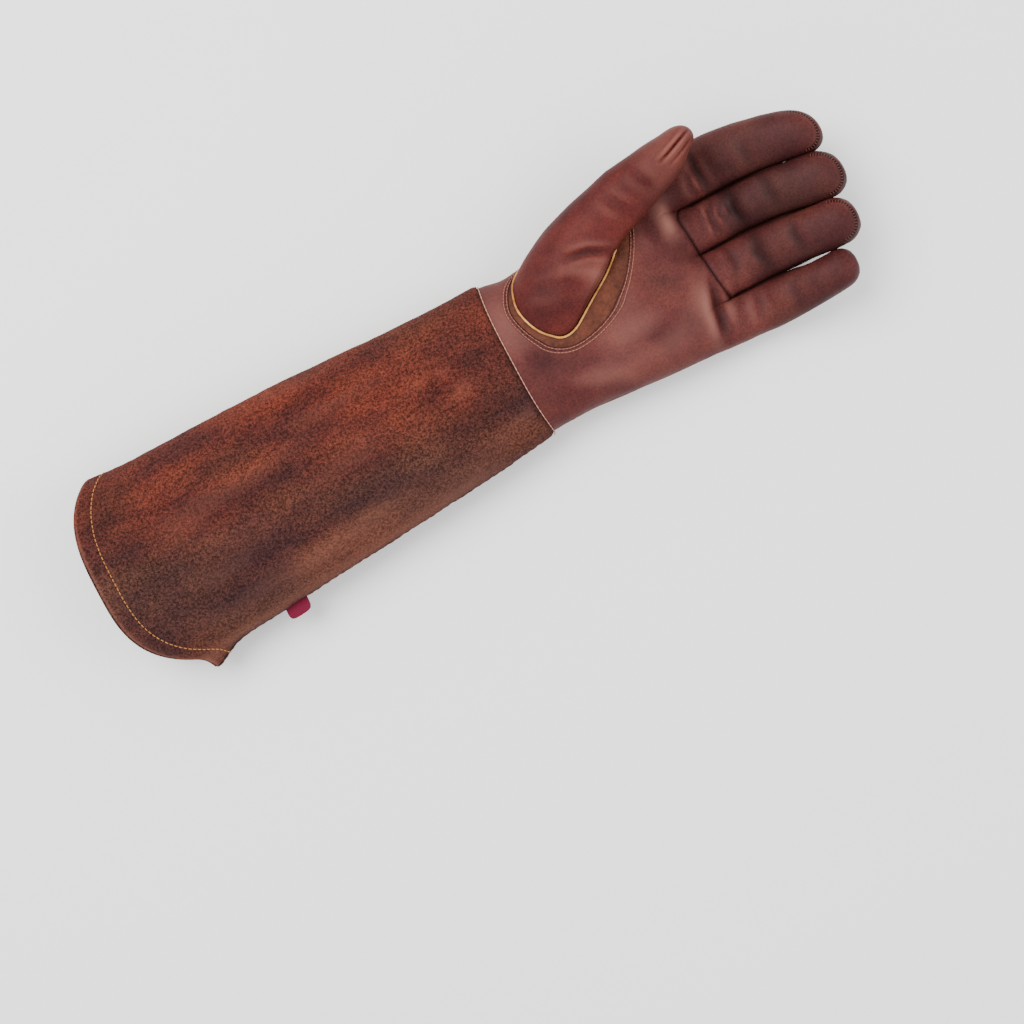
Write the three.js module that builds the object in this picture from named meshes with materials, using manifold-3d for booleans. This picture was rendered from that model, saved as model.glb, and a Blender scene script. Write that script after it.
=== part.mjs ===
// A left-hand rose pruning gauntlet lying palm up: a hand of smooth leather sewn to a long suede cuff.
// Millimetres. X runs from the cuff's mouth to the fingertips, Y to the thumb's side, Z up.
// Every wall is worked out from the sizes below with x = 0 at the wrist seam, then moved to its frame.
import * as THREE from 'three';
import { mergeVertices } from 'three/addons/utils/BufferGeometryUtils.js';
import Module from 'manifold-3d';

// Cuff
const cuffLength = 280; // wrist seam to the middle of the mouth
const cuffMouthWidth = 136;
const cuffMouthDepth = 59;
const cuffWristWidth = 101;
const cuffWristDepth = 50;
const mouthCutBackThumb = 20; // the mouth's edge lies this much nearer the wrist at the sides
const mouthCutBackLittle = 36;
const cornerFlare = 7; // how far the mouth's little-finger corner stands out
const flareReach = 13; // the flare dies out this far from the corner
const wristEdgeDip = 3.5; // the cuff's other edge dips back this much in the middle
const suedeWall = 1.8;
const hemWidth = 11;
const hemWall = 1.4;

// Hand
const handLength = 138; // wrist seam to the finger crotches
const knuckleWidth = 116;
const palmDepth = 46;
const palmHollow = 5;
const leatherWall = 1.3;
const wristOverlap = 11; // the hand's leather reaches this far up inside the cuff
const frontSeamPlace = 131; // where the middle and ring fronts are sewn to the palm
const frontSeamBow = 5.5; // the farthest that this seam bends towards the wrist
const fingerReach = 84.5; // from the crotch to the tip of the longest finger
const fingerWidth = 30;
const fingerDepth = 25.5;
const fingerLift = 33; // how far a curled middle fingertip rises
const restingHeight = 17; // middle of the fingers over the table at the crotches
const fourchetteSpread = 25; // half the angle that a finger's side wall fills
const crotchSetBack = 0.6; // the side walls' bend stays this far short of the crotch

// Thumb
const thumbWidth = 34.5;
const thumbDepth = 28.5;
const thumbRise = 51; // middle of the thumb over the table at its crotch
const thumbReach = 50.5; // crotch to tip
const thumbSwell = 9; // how far the thumb's root bulges over its seam
const thumbCrotch = 0.74; // the share of the hand's length where the free part of the thumb begins
const thumbTipShare = 0.2; // the share of the thumb's free part that is its rounded tip

// Trim
const pipingDiameter = 1.8;
const weltDiameter = 1.3;
const gussetWidest = 11.5;
const gussetWall = 1;
const tabLength = 15;
const tabDrop = 8;
const tabWall = 1;
const tabPlace = 184; // wrist seam to the middle of the tab

const gap = 0.3; // clearance between sewn pieces
const halfSeam = 0.15; // each side of a seam stands off by this much
const flattening = 1.4; // how far the leather is pressed flat where it rests

const topRoundness = 2.3; // exponents of the rounded sections: 2 is an ellipse
const lowRoundness = 3;
const cuffRoundness = 2.15;

// Sections of the cuff from wrist to mouth: shares of its length, its widening and its deepening.
const cuffSections = [
  { along: 0, widened: 0, deepened: 0, sway: 0.074 },
  { along: 0.18, widened: 0.17, deepened: 0.16, sway: 0.046 },
  { along: 0.36, widened: 0.35, deepened: 0.25, sway: 0.035 },
  { along: 0.54, widened: 0.52, deepened: 0.36, sway: 0.024 },
  { along: 0.72, widened: 0.64, deepened: 0.5, sway: 0.008 },
  { along: 0.84, widened: 0.72, deepened: 0.66, sway: -0.008 },
  { along: 0.93, widened: 0.88, deepened: 0.86, sway: -0.016 },
  { along: 1, widened: 1, deepened: 1, sway: -0.016 },
];
// Soft dents of the cuff: place as a share of its length and as an angle, with their reach and depth.
const cuffDents = [
  { along: 0.2, around: 70, longReach: 0.16, wideReach: 20, depth: 0.035 },
  { along: 0.5, around: 112, longReach: 0.22, wideReach: 16, depth: 0.03 },
  { along: 0.72, around: 62, longReach: 0.15, wideReach: 18, depth: 0.04 },
  { along: 0.42, around: 40, longReach: 0.25, wideReach: 12, depth: 0.025 },
];
// Sections of the hand: edges as shares of the knuckle width, heights as shares of the palm's depth.
const handSections = [
  { along: 0.1, littleEdge: -0.349, thumbEdge: 0.461, low: 0.087, high: 1 },
  { along: 0.2, littleEdge: -0.349, thumbEdge: 0.47, low: 0.087, high: 1 },
  { along: 0.35, littleEdge: -0.362, thumbEdge: 0.5, low: 0.054, high: 1.02 },
  { along: 0.57, littleEdge: -0.384, thumbEdge: 0.52, low: 0.01, high: 1 },
  { along: 0.78, littleEdge: -0.397, thumbEdge: 0.55, low: 0, high: 0.92 },
  { along: 1, littleEdge: -0.41, thumbEdge: 0.62, low: 0, high: 0.8 },
];
// Fingers: reach, width, depth and rise as shares of the sizes above.
const fingers = [
  { name: 'little', reach: 0.799, width: 0.883, depth: 0.93, rise: 0.82 },
  { name: 'ring', reach: 0.941, width: 1, depth: 1, rise: 1 },
  { name: 'middle', reach: 1, width: 1, depth: 1, rise: 1.03 },
  { name: 'index', reach: 0.994, width: 1, depth: 1, rise: 0.96 },
];
// Each finger's middle line, in knuckle widths from the glove's axis, at quarters of its reach.
const fingerSway = {
  little: [-0.297, -0.306, -0.314, -0.319, -0.309],
  ring: [-0.04, -0.045, -0.061, -0.089, -0.099],
  middle: [0.222, 0.217, 0.197, 0.163, 0.133],
  index: [0.486, 0.496, 0.47, 0.426, 0.369],
};
// Each finger's width at the same places, as shares of its own width.
const fingerGirth = {
  little: [1.03, 1.065, 1, 0.9, 0.86],
  ring: [1.03, 1.045, 1.01, 0.96, 0.9],
  middle: [0.955, 0.945, 0.97, 0.985, 0.945],
  index: [1.045, 1.165, 1.1, 1.015, 0.875],
};
// The curl of a finger: height as a share of its rise, and the pinch of its palm side at the creases.
const fingerCurl = [
  { along: 0, risen: 0, pinch: 0 },
  { along: 0.22, risen: 0.07, pinch: 0.12 },
  { along: 0.36, risen: 0.24, pinch: 0 },
  { along: 0.5, risen: 0.46, pinch: 0.08 },
  { along: 0.75, risen: 0.77, pinch: 0 },
  { along: 1, risen: 1, pinch: 0 },
];
const tipShare = 0.16; // the share of a finger's reach that is its rounded tip
// The line of the seam across the roots of the ring and middle fingers, from the ring's outer edge.
const frontSeamLine = [
  { across: 0, bow: -0.3 },
  { across: 0.125, bow: 0.05 },
  { across: 0.25, bow: 0.35 },
  { across: 0.5, bow: 0.6 },
  { across: 0.75, bow: 0.9 },
  { across: 0.875, bow: 1 },
  { across: 1, bow: 0.35 },
];

// The seam round the thumb's base: place along the hand, angle round it, the angle of the thumb's own
// section that it leads to, and the gusset strip's width outside it as a share of its widest.
const thumbSeam = [
  { along: 0.11, around: 118, leadsTo: 100, gusset: 0.44 },
  { along: 0.128, around: 104, leadsTo: 118, gusset: 0.44 },
  { along: 0.168, around: 94, leadsTo: 135, gusset: 0.46 },
  { along: 0.235, around: 88.5, leadsTo: 150, gusset: 0.54 },
  { along: 0.32, around: 91, leadsTo: 163, gusset: 0.74 },
  { along: 0.42, around: 99, leadsTo: 177, gusset: 0.96 },
  { along: 0.515, around: 108, leadsTo: 192, gusset: 1 },
  { along: 0.6, around: 120, leadsTo: 210, gusset: 0.8 },
  { along: 0.675, around: 134, leadsTo: 232, gusset: 0.35 },
  { along: 0.71, around: 151, leadsTo: 255, gusset: 0 },
  { along: 0.695, around: 168, leadsTo: 280, gusset: 0 },
  { along: 0.62, around: 181, leadsTo: 305, gusset: 0 },
  { along: 0.49, around: 187, leadsTo: 330, gusset: 0 },
  { along: 0.36, around: 184, leadsTo: 350, gusset: 0 },
  { along: 0.26, around: 173, leadsTo: 368, gusset: 0 },
  { along: 0.195, around: 160, leadsTo: 390, gusset: 0.22 },
  { along: 0.15, around: 147, leadsTo: 415, gusset: 0.28 },
  { along: 0.122, around: 132, leadsTo: 438, gusset: 0.36 },
];
// Sections of the free thumb: shares of its reach, width and depth, and its middle line's place.
const thumbSections = [
  { along: 0, wide: 1, deep: 1, out: 0.531, up: 0 },
  { along: 0.43, wide: 0.82, deep: 1, out: 0.579, up: 0.06 },
  { along: 0.63, wide: 0.7, deep: 0.96, out: 0.603, up: 0.09 },
  { along: 0.82, wide: 0.51, deep: 0.84, out: 0.635, up: 0.11 },
  { along: 1, wide: 0.42, deep: 0.7, out: 0.645, up: 0.12 },
];

const flareSpread = 11; // angle round the cuff at which the corner's flare dies out
const indexSeamOnHand = 212; // angle of the piped seam round the hand, past the thumb-side edge at 180
const indexSeamOnFinger = 222;
const cuffSeamThumb = 198;

// Stations along the pieces, and how many facets each finger's strip has across it.
const handStations = [-0.08, -0.03, 0.016, 0.09, 0.17, 0.26, 0.36, 0.46, 0.56, 0.67, 0.77, 0.85];
const slitStart = 0.972; // the slits between the fingers open here
const fingerStations = [0.07, 0.14, 0.2, 0.26, 0.34, 0.42, 0.5, 0.6, 0.72, 0.82, 0.89, 0.945, 0.985, 1];
const fourchetteEnd = 0.89; // one of the stations above
const facets = { palm: [6, 4, 4, 7], back: [6, 4, 4, 4] };

const radians = THREE.MathUtils.degToRad;
const mix = THREE.MathUtils.lerp;
const smooth = THREE.MathUtils.smoothstep;
const power = (value, exponent) => Math.sign(value) * Math.abs(value) ** exponent;
const bell = (value) => Math.exp(-value * value);
const shares = (count) => Array.from({ length: count + 1 }, (_, i) => i / count);

// A smooth value between the rows of a table.
function between(rows, key, column, at) {
  const last = rows.length - 1;
  let i = 0;
  while (i < last - 1 && at > rows[i + 1][key]) i++;
  const slope = (k) => {
    const a = rows[Math.max(k - 1, 0)];
    const b = rows[Math.min(k + 1, last)];
    return (b[column] - a[column]) / (b[key] - a[key]);
  };
  const span = rows[i + 1][key] - rows[i][key];
  const t = THREE.MathUtils.clamp((at - rows[i][key]) / span, 0, 1);
  const t2 = t * t;
  const t3 = t2 * t;
  const ends = (2 * t3 - 3 * t2 + 1) * rows[i][column] + (3 * t2 - 2 * t3) * rows[i + 1][column];
  return ends + ((t3 - 2 * t2 + t) * slope(i) + (t3 - t2) * slope(i + 1)) * span;
}

function quarters(list, at) {
  return between(list.map((value, i) => ({ along: i / (list.length - 1), value })), 'along', 'value', at);
}

// The leather is pressed flat where it rests: its outer face at z = 0, its inner face one wall up.
const resting = (z, inset, seam) => Math.max(z - flattening, inset + seam + halfSeam);

// A point of a rounded section: 0 is its little-finger side, 90 its palm, 180 its thumb side, -90 its back.
function rounded(angle, halfWidth, halfDepth, top, low) {
  const c = Math.cos(radians(angle));
  const s = Math.sin(radians(angle));
  const n = s >= 0 ? top : low;
  return [-halfWidth * power(c, 2 / n), halfDepth * power(s, 2 / n)];
}

function cuffSection(x) {
  const along = -x / cuffLength;
  const widened = between(cuffSections, 'along', 'widened', along);
  const deepened = between(cuffSections, 'along', 'deepened', along);
  return {
    y: between(cuffSections, 'along', 'sway', along) * cuffWristWidth,
    halfWidth: mix(cuffWristWidth, cuffMouthWidth, widened) / 2,
    halfDepth: mix(cuffWristDepth, cuffMouthDepth, deepened) / 2,
  };
}

// inset moves the point into the wall; seam moves the palm side up and the back side down.
function cuffPoint(x, angle, inset = 0, seam = 0) {
  const section = cuffSection(x);
  const halfWidth = section.halfWidth - inset;
  const halfDepth = section.halfDepth - inset;
  const [y, z] = rounded(angle, halfWidth, halfDepth, cuffRoundness, lowRoundness);
  let dent = 0;
  for (const d of cuffDents) {
    const far = bell((-x / cuffLength - d.along) / d.longReach) * bell((angle - d.around) / d.wideReach);
    dent += d.depth * cuffWristDepth * far;
  }
  dent *= smooth(-x / cuffLength, 0.04, 0.14);
  const fromCorner = (x + cuffLength - mouthCutBackLittle) / flareReach;
  const corner = bell(fromCorner) * bell((((angle + 540) % 360) - 180) / flareSpread);
  const up = resting(section.halfDepth + z + seam - dent, inset, seam);
  return new THREE.Vector3(x, section.y + y - corner * cornerFlare, up);
}

// The cuff's two edges, as places along X at an angle round it.
function cuffEdges(angle) {
  const side = -Math.cos(radians(angle));
  const cutBack = side > 0 ? mouthCutBackThumb : mouthCutBackLittle;
  return {
    wrist: -wristEdgeDip * (1 - Math.abs(side) ** 3),
    mouth: -cuffLength + cutBack * Math.abs(side) ** 3,
  };
}

// The hand's leather starts inside the cuff, nested one wall and one gap in.
const nested = suedeWall + gap + halfSeam;
const wristEnd = cuffSection(0);
const handRows = [-wristOverlap / handLength, 0.02].map((along) => ({
  along,
  little: wristEnd.y - wristEnd.halfWidth + nested,
  thumb: wristEnd.y + wristEnd.halfWidth - nested,
  low: nested,
  high: 2 * wristEnd.halfDepth - nested,
}));
for (const row of handSections) {
  handRows.push({
    along: row.along,
    little: row.littleEdge * knuckleWidth,
    thumb: row.thumbEdge * knuckleWidth,
    low: row.low * palmDepth,
    high: row.high * palmDepth,
  });
}

// A point of the hand's outer face at a place along it and an angle round it.
function handPoint(along, angle, inset = 0, seam = 0) {
  const at = (column) => between(handRows, 'along', column, along);
  const halfWidth = (at('thumb') - at('little')) / 2;
  const halfDepth = (at('high') - at('low')) / 2;
  const middle = (at('thumb') + at('little')) / 2;
  const top = mix(cuffRoundness, topRoundness, smooth(along, 0.02, 0.12));
  const [y, z] = rounded(angle, halfWidth - inset, halfDepth - inset, top, lowRoundness);
  const hollow = bell((along - 0.62) / 0.22) * bell((y / knuckleWidth + 0.08) / 0.22);
  const sink = palmHollow * hollow * smooth(z, 0, palmDepth / 4);
  // Inside the cuff the hand's leather rests on the cuff's wall, not on the table.
  const lift = nested * (1 - smooth(along, 0.02, 0.1));
  const up = resting((at('high') + at('low')) / 2 + z - sink + seam - lift, inset, seam) + lift;
  return new THREE.Vector3(along * handLength, middle + y, up);
}

// Half the angle that a finger's side wall fills: it narrows to nothing towards the tip.
const sideSpread = (w) => fourchetteSpread * (1 - smooth(w, 0.6, 0.97));

// A point of a finger's outer face: w is the share of its reach, 0 at the crotch and 1 at the tip.
function fingerPoint(finger, w, angle, inset = 0, seam = 0) {
  const past = THREE.MathUtils.clamp((w - (1 - tipShare)) / tipShare, 0, 1);
  const tip = (1 - past ** topRoundness) ** (1 / topRoundness);
  const reach = finger.reach * fingerReach;
  const width = finger.width * fingerWidth;
  const halfWidth = (width / 2) * quarters(fingerGirth[finger.name], w) - inset;
  const halfDepth = ((finger.depth * fingerDepth) / 2) * (1 - 0.1 * w) - inset;
  const [y, z] = rounded(angle, halfWidth * tip, halfDepth * tip, topRoundness, topRoundness);
  const rise = finger.rise * fingerLift;
  const risen = (place) => between(fingerCurl, 'along', 'risen', THREE.MathUtils.clamp(place, 0, 1)) * rise;
  const step = 0.02;
  const slope = (risen(w + step) - risen(w - step)) / (2 * step * reach);
  const tilt = Math.atan(slope) * smooth(w, 0, 0.15);
  const pinch = z > 0 ? between(fingerCurl, 'along', 'pinch', w) * (z / halfDepth) : 0;
  const up = z * (1 - pinch) + seam;
  return new THREE.Vector3(
    handLength + w * (reach - inset) - up * Math.sin(tilt),
    quarters(fingerSway[finger.name], w) * knuckleWidth + y,
    restingHeight + risen(w) + up * Math.cos(tilt),
  );
}

// A point of one finger's strip of the hand's leather, share 0 to 1 across it.
// along is a share of the hand's length up to 1, and 1 + w on the finger.
const handAngles = {
  palm: [0, 58, 90, 122, indexSeamOnHand],
  back: [0, -58, -90, -122, indexSeamOnHand - 360],
};
function ownPoint(side, strip, along, share, inset) {
  const sign = side === 'palm' ? 1 : -1;
  const w = Math.max(along - 1, 0);
  const first = strip === 0 ? 0 : sign * sideSpread(w);
  const pipedSeam = side === 'palm' ? indexSeamOnFinger : indexSeamOnFinger - 360;
  const final = strip === 3 ? pipedSeam : sign * (180 - sideSpread(w));
  const onFinger = fingerPoint(fingers[strip], w, mix(first, final, share), inset, sign * halfSeam);
  if (along >= 1) return onFinger;
  const onHand = mix(handAngles[side][strip], handAngles[side][strip + 1], share);
  onFinger.x = along * handLength;
  return handPoint(along, onHand, inset, sign * halfSeam).lerp(onFinger, smooth(along, 0.78, 1));
}

// The same, with neighbouring strips meeting at their edge until the slit between them opens.
function stripPoint(side, strip, along, share, inset) {
  const point = ownPoint(side, strip, along, share, inset);
  const neighbour = share === 0 ? strip - 1 : strip + 1;
  if ((share > 0 && share < 1) || neighbour < 0 || neighbour > 3 || along > slitStart) return point;
  return point.add(ownPoint(side, neighbour, along, 1 - share, inset)).multiplyScalar(0.5);
}

// A wall from grids of points: rows of outer points and rows of inner points. Grids that share points
// are one wall, and every free edge is closed by a rim.
function wallGeometry(grids) {
  const outer = [];
  const inner = [];
  const found = new Map();
  const indexOf = (a, b) => {
    const key = a.toArray().map((v) => Math.round(v * 1e4)).join();
    if (!found.has(key)) {
      found.set(key, outer.length);
      outer.push(a);
      inner.push(b);
    }
    return found.get(key);
  };
  const faces = [];
  for (const grid of grids) {
    const ids = grid.outer.map((row, r) => row.map((p, c) => indexOf(p, grid.inner[r][c])));
    for (let r = 0; r + 1 < ids.length; r++) {
      for (let c = 0; c + 1 < ids[r].length; c++) {
        const [a, b] = [ids[r][c], ids[r + 1][c]];
        const [d, e] = [ids[r][c + 1], ids[r + 1][c + 1]];
        faces.push([a, b, e], [a, e, d]);
      }
    }
  }
  const kept = faces.filter(([a, b, c]) => a !== b && b !== c && a !== c);
  const edges = new Set(kept.flatMap(([a, b, c]) => [`${a} ${b}`, `${b} ${c}`, `${c} ${a}`]));
  const n = outer.length;
  const index = [];
  for (const [a, b, c] of kept) {
    index.push(a, b, c, n + a, n + c, n + b);
    for (const [p, q] of [[a, b], [b, c], [c, a]]) {
      if (!edges.has(`${q} ${p}`)) index.push(q, p, n + p, q, n + p, n + q);
    }
  }
  return closedGeometry([...outer, ...inner], index);
}

// A closed body from points and triangles, turned so that it faces outwards.
function closedGeometry(points, index) {
  let volume = 0;
  for (let i = 0; i < index.length; i += 3) {
    const [a, b, c] = [points[index[i]], points[index[i + 1]], points[index[i + 2]]];
    volume += a.dot(new THREE.Vector3().crossVectors(b, c));
  }
  const geometry = new THREE.BufferGeometry().setFromPoints(points);
  geometry.setIndex(volume < 0 ? index.slice().reverse() : index);
  return geometry;
}

// A grid's outer points and their twins at the wall's thickness, from a function of row, column and inset.
function gridOf(rows, columns, wall, point) {
  const layer = (inset) => rows.map((r) => columns.map((c) => point(r, c, inset)));
  return { outer: layer(0), inner: layer(wall) };
}

// A round cord along a row of points.
function cordGeometry(places, diameter, closed, sides = 6) {
  const curve = new THREE.CatmullRomCurve3(places, closed);
  const count = closed ? places.length : places.length - 1;
  const frames = curve.computeFrenetFrames(count, closed);
  const rings = closed ? count : count + 1;
  const points = [];
  for (let i = 0; i < rings; i++) {
    const centre = curve.getPoint(i / count);
    for (let k = 0; k < sides; k++) {
      const turn = (2 * Math.PI * k) / sides;
      const out = frames.normals[i].clone().multiplyScalar(Math.cos(turn) * diameter * 0.5);
      out.addScaledVector(frames.binormals[i], Math.sin(turn) * diameter * 0.5);
      points.push(centre.clone().add(out));
    }
  }
  const index = [];
  for (let i = 0; i < (closed ? rings : rings - 1); i++) {
    for (let k = 0; k < sides; k++) {
      const a = i * sides + k;
      const b = i * sides + ((k + 1) % sides);
      const c = ((i + 1) % rings) * sides + k;
      const d = ((i + 1) % rings) * sides + ((k + 1) % sides);
      index.push(a, c, d, a, d, b);
    }
  }
  if (!closed) {
    const last = (rings - 1) * sides;
    for (let k = 1; k + 1 < sides; k++) {
      index.push(0, k, k + 1, last, last + k + 1, last + k);
    }
  }
  return closedGeometry(points, index);
}

// Joining and cutting of closed bodies
const wasm = await Module();
wasm.setup();
function toSolid(geometry) {
  const bare = geometry.clone();
  bare.deleteAttribute('normal');
  bare.deleteAttribute('uv');
  const merged = mergeVertices(bare, 1e-4);
  const mesh = new wasm.Mesh({
    numProp: 3,
    vertProperties: merged.attributes.position.array,
    triVerts: new Uint32Array(merged.index.array),
  });
  return new wasm.Manifold(mesh);
}
function toGeometry(solid) {
  const mesh = solid.getMesh();
  const geometry = new THREE.BufferGeometry();
  geometry.setAttribute('position', new THREE.BufferAttribute(new Float32Array(mesh.vertProperties), 3));
  geometry.setIndex(new THREE.BufferAttribute(new Uint32Array(mesh.triVerts), 1));
  return geometry;
}

// Colours and finishes
const leather = { color: 0x7c4038, roughness: 0.5, metalness: 0 };
const brownLeather = { color: 0x6e3a2c, roughness: 0.55, metalness: 0 };
const suede = { color: 0x6a3322, roughness: 0.95, metalness: 0 };
const yellowPiping = { color: 0xd6913a, roughness: 0.6, metalness: 0 };
const palePiping = { color: 0xd9a898, roughness: 0.7, metalness: 0 };
const redCloth = { color: 0x8e1f3c, roughness: 0.8, metalness: 0 };

const glove = new THREE.Group();
function add(name, geometry, finish) {
  const mesh = new THREE.Mesh(geometry, new THREE.MeshStandardMaterial(finish));
  mesh.name = name;
  glove.add(mesh);
}

// Cuff: a palm-side and a back-side panel of suede, sewn down both sides
const cuffRows = [...shares(10), 'mouth'];
const cuffFacets = shares(14);
function cuffPanel(from, to, seam) {
  const angles = cuffFacets.map((share) => mix(from, to, share));
  const point = (row, angle, inset) => {
    const edge = cuffEdges(angle);
    const x = row === 'mouth' ? edge.mouth : mix(edge.wrist, edge.mouth + gap + hemWidth, row);
    return cuffPoint(x, angle, inset, seam);
  };
  return wallGeometry([gridOf(cuffRows, angles, suedeWall, point)]);
}
add('cuff_palm_side', cuffPanel(0, cuffSeamThumb, halfSeam), suede);
add('cuff_back_side', cuffPanel(cuffSeamThumb - 360, 0, -halfSeam), suede);

// Hem: the panels' edge turned in, a band round the inside of the mouth
const hemFacets = cuffFacets.map((share) => cuffSeamThumb * share);
hemFacets.push(...cuffFacets.slice(1).map((share) => mix(cuffSeamThumb, 360, share)));
const hemPoint = (row, angle, inset) => {
  const x = cuffEdges(angle).mouth + gap + row * hemWidth;
  return cuffPoint(x, angle % 360, suedeWall + gap + halfSeam + inset);
};
add('cuff_hem', wallGeometry([gridOf([1, 0], hemFacets, hemWall, hemPoint)]), suede);

// Label tab: a bare folded cloth tab, sewn into the little-finger seam
function labelTab() {
  const seamAt = (x) => cuffPoint(-tabPlace + x, 0);
  const half = tabLength / 2;
  const corner = tabDrop / 3;
  const outline = [
    [-half, 0],
    [half, 0],
    [half, -tabDrop + corner],
    [half - corner * 0.3, -tabDrop + corner * 0.3],
    [half - corner, -tabDrop],
    [-half + corner, -tabDrop],
    [-half + corner * 0.3, -tabDrop + corner * 0.3],
    [-half, -tabDrop + corner],
  ];
  const points = [0.5, -0.5].flatMap((level) =>
    outline.map(([x, y]) => seamAt(x).add(new THREE.Vector3(0, y - 1.5 * gap, level * tabWall))),
  );
  const n = outline.length;
  const index = [];
  for (let i = 0; i < n; i++) {
    const j = (i + 1) % n;
    index.push(i, n + i, n + j, i, n + j, j);
  }
  for (let i = 1; i + 1 < n; i++) index.push(0, i, i + 1, n, n + i + 1, n + i);
  return closedGeometry(points, index);
}
add('label_tab', labelTab(), redCloth);

// Hand: one piece of leather is the palm with the index and little fronts. Those two fronts are nodes of
// their own from the finger roots on, so that the collision keeps the roots open.
const frontSeam = frontSeamPlace / handLength;
const bowed = (number, along, share) => {
  if (along < frontSeam - 1e-6) return along;
  const bow = between(frontSeamLine, 'across', 'bow', (number - 1 + share) / 2) * frontSeamBow;
  return along - bow / handLength;
};
const toSeam = [...handStations, frontSeam];
const toTip = fingerStations.map((w) => 1 + w);
const fingerPart = [1, ...toTip];
const whole = [...toSeam, slitStart, ...fingerPart];
const toRoots = [...toSeam, slitStart, 1 - gap / handLength];
const strip = (side, number, stations, wall = leatherWall) =>
  gridOf(stations, shares(facets[side][number]), wall, (along, share, inset) =>
    stripPoint(side, number, along, share, inset),
  );
const palmStrip = (number) =>
  gridOf(toSeam, shares(facets.palm[number]), leatherWall, (along, share, inset) =>
    stripPoint('palm', number, bowed(number, along, share), share, inset),
  );
const palmWall = wallGeometry([
  strip('palm', 0, toRoots),
  palmStrip(1),
  palmStrip(2),
  strip('palm', 3, toRoots),
]);

// The seam round the thumb's base, t counting the table's rows. outward moves a point off the seam, lift
// moves it off the hand's face.
const seamGirth = 0.42 * knuckleWidth;
const seamLength = thumbSeam.length;
function seamRow(t) {
  const turn = Math.floor(t / seamLength);
  const at = t - turn * seamLength;
  const rows = [-2, -1, 0, 1, 2].map((step) => {
    const i = Math.round(at) + step;
    const row = thumbSeam[(i + seamLength) % seamLength];
    return { ...row, at: i };
  });
  return {
    along: between(rows, 'at', 'along', at),
    around: between(rows, 'at', 'around', at),
    gusset: between(rows, 'at', 'gusset', at),
  };
}
function seamPlace(t, outward) {
  const row = seamRow(t);
  const before = seamRow(t - 1 + seamLength);
  const after = seamRow(t + 1);
  const runAlong = (after.along - before.along) * handLength;
  const runAround = radians(after.around - before.around) * seamGirth;
  const length = Math.hypot(runAlong, runAround);
  return {
    along: row.along + ((runAround / length) * outward) / handLength,
    around: row.around - THREE.MathUtils.radToDeg(((runAlong / length) * outward) / seamGirth),
  };
}
function seamPoint(t, outward, lift = 0) {
  const place = seamPlace(t, outward);
  return handPoint(place.along, place.around, -lift, halfSeam);
}
const gussetWidth = (t) => Math.max(seamRow(t).gusset, 0) * gussetWidest;
const seamRows = thumbSeam.map((_, i) => i);
const seamHalves = seamRows.flatMap((i) => [i, i + 0.5]);

function thumbHole() {
  const n = seamHalves.length;
  const lifts = [0.7 * palmDepth, 1, -leatherWall - 1, -3 * leatherWall];
  const edge = (t) => 2 * gap + gussetWidth(t);
  const points = lifts.flatMap((lift) => seamHalves.map((t) => seamPoint(t, edge(t), lift)));
  const flat = seamHalves.map((t) => {
    const place = seamPlace(t, edge(t));
    return new THREE.Vector2(place.along, place.around / 90);
  });
  const bottom = (lifts.length - 1) * n;
  const index = [];
  for (const [a, b, c] of THREE.ShapeUtils.triangulateShape(flat, [])) {
    index.push(a, b, c, bottom + a, bottom + c, bottom + b);
  }
  for (let level = 0; level < bottom; level += n) {
    for (let i = 0; i < n; i++) {
      const j = (i + 1) % n;
      index.push(level + i, level + n + i, level + n + j, level + i, level + n + j, level + j);
    }
  }
  return closedGeometry(points, index);
}
add('palm', toGeometry(toSolid(palmWall).subtract(toSolid(thumbHole()))), leather);
add('little_front', wallGeometry([strip('palm', 0, fingerPart)]), leather);
add('index_front', wallGeometry([strip('palm', 3, fingerPart)]), leather);

// Back of the hand and fingers, in one piece
add('hand_back', wallGeometry([0, 1, 2, 3].map((number) => strip('back', number, whole))), leather);

// Fronts of the middle and ring fingers, sewn to the palm across their roots
const frontStations = [frontSeam, slitStart, 1, ...toTip];
function fingerFront(number) {
  const point = (along, share, inset) => {
    if (along >= 1) return ownPoint('palm', number, along, share, inset);
    const start = along === frontSeam ? bowed(number, along, share) + gap / handLength : along;
    const onEdge = stripPoint('palm', number, start, share, inset);
    const clear = (share === 0 ? 1 : share === 1 ? -1 : 0) * (gap / 2);
    return onEdge.setY(onEdge.y + clear);
  };
  return wallGeometry([gridOf(frontStations, shares(facets.palm[number]), leatherWall, point)]);
}
add('ring_front', fingerFront(1), leather);
add('middle_front', fingerFront(2), leather);

// Fourchettes: side walls that run down one finger, round the crotch and up the next
function fourchette(number) {
  const trim = 0.9;
  const ws = [0, ...fingerStations.filter((w) => w <= fourchetteEnd)];
  const levels = [1, 0.35, -0.35, -1];
  const wallPoint = (w, level, inset, onFirst) => {
    const spread = level * (sideSpread(w) - trim);
    const finger = fingers[onFirst ? number : number + 1];
    return fingerPoint(finger, w, onFirst ? 180 - spread : spread, inset);
  };
  const columns = [];
  for (const w of ws.slice().reverse()) columns.push((level, inset) => wallPoint(w, level, inset, true));
  columns.push((level, inset) => {
    const start = slitStart * handLength + gap;
    const reach = handLength - start - crotchSetBack;
    const left = wallPoint(0, level, 0, true);
    const right = wallPoint(0, level, 0, false);
    const turn = (level * Math.PI) / 2;
    const point = left.add(right).multiplyScalar(0.5);
    point.x = start + (reach - inset) * Math.cos(turn);
    point.z -= inset * Math.sin(turn);
    return point;
  });
  for (const w of ws) columns.push((level, inset) => wallPoint(w, level, inset, false));
  const layer = (inset) => columns.map((column) => levels.map((level) => column(level, inset)));
  return wallGeometry([{ outer: layer(0), inner: layer(leatherWall) }]);
}
add('fourchette_little_ring', fourchette(0), brownLeather);
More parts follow.
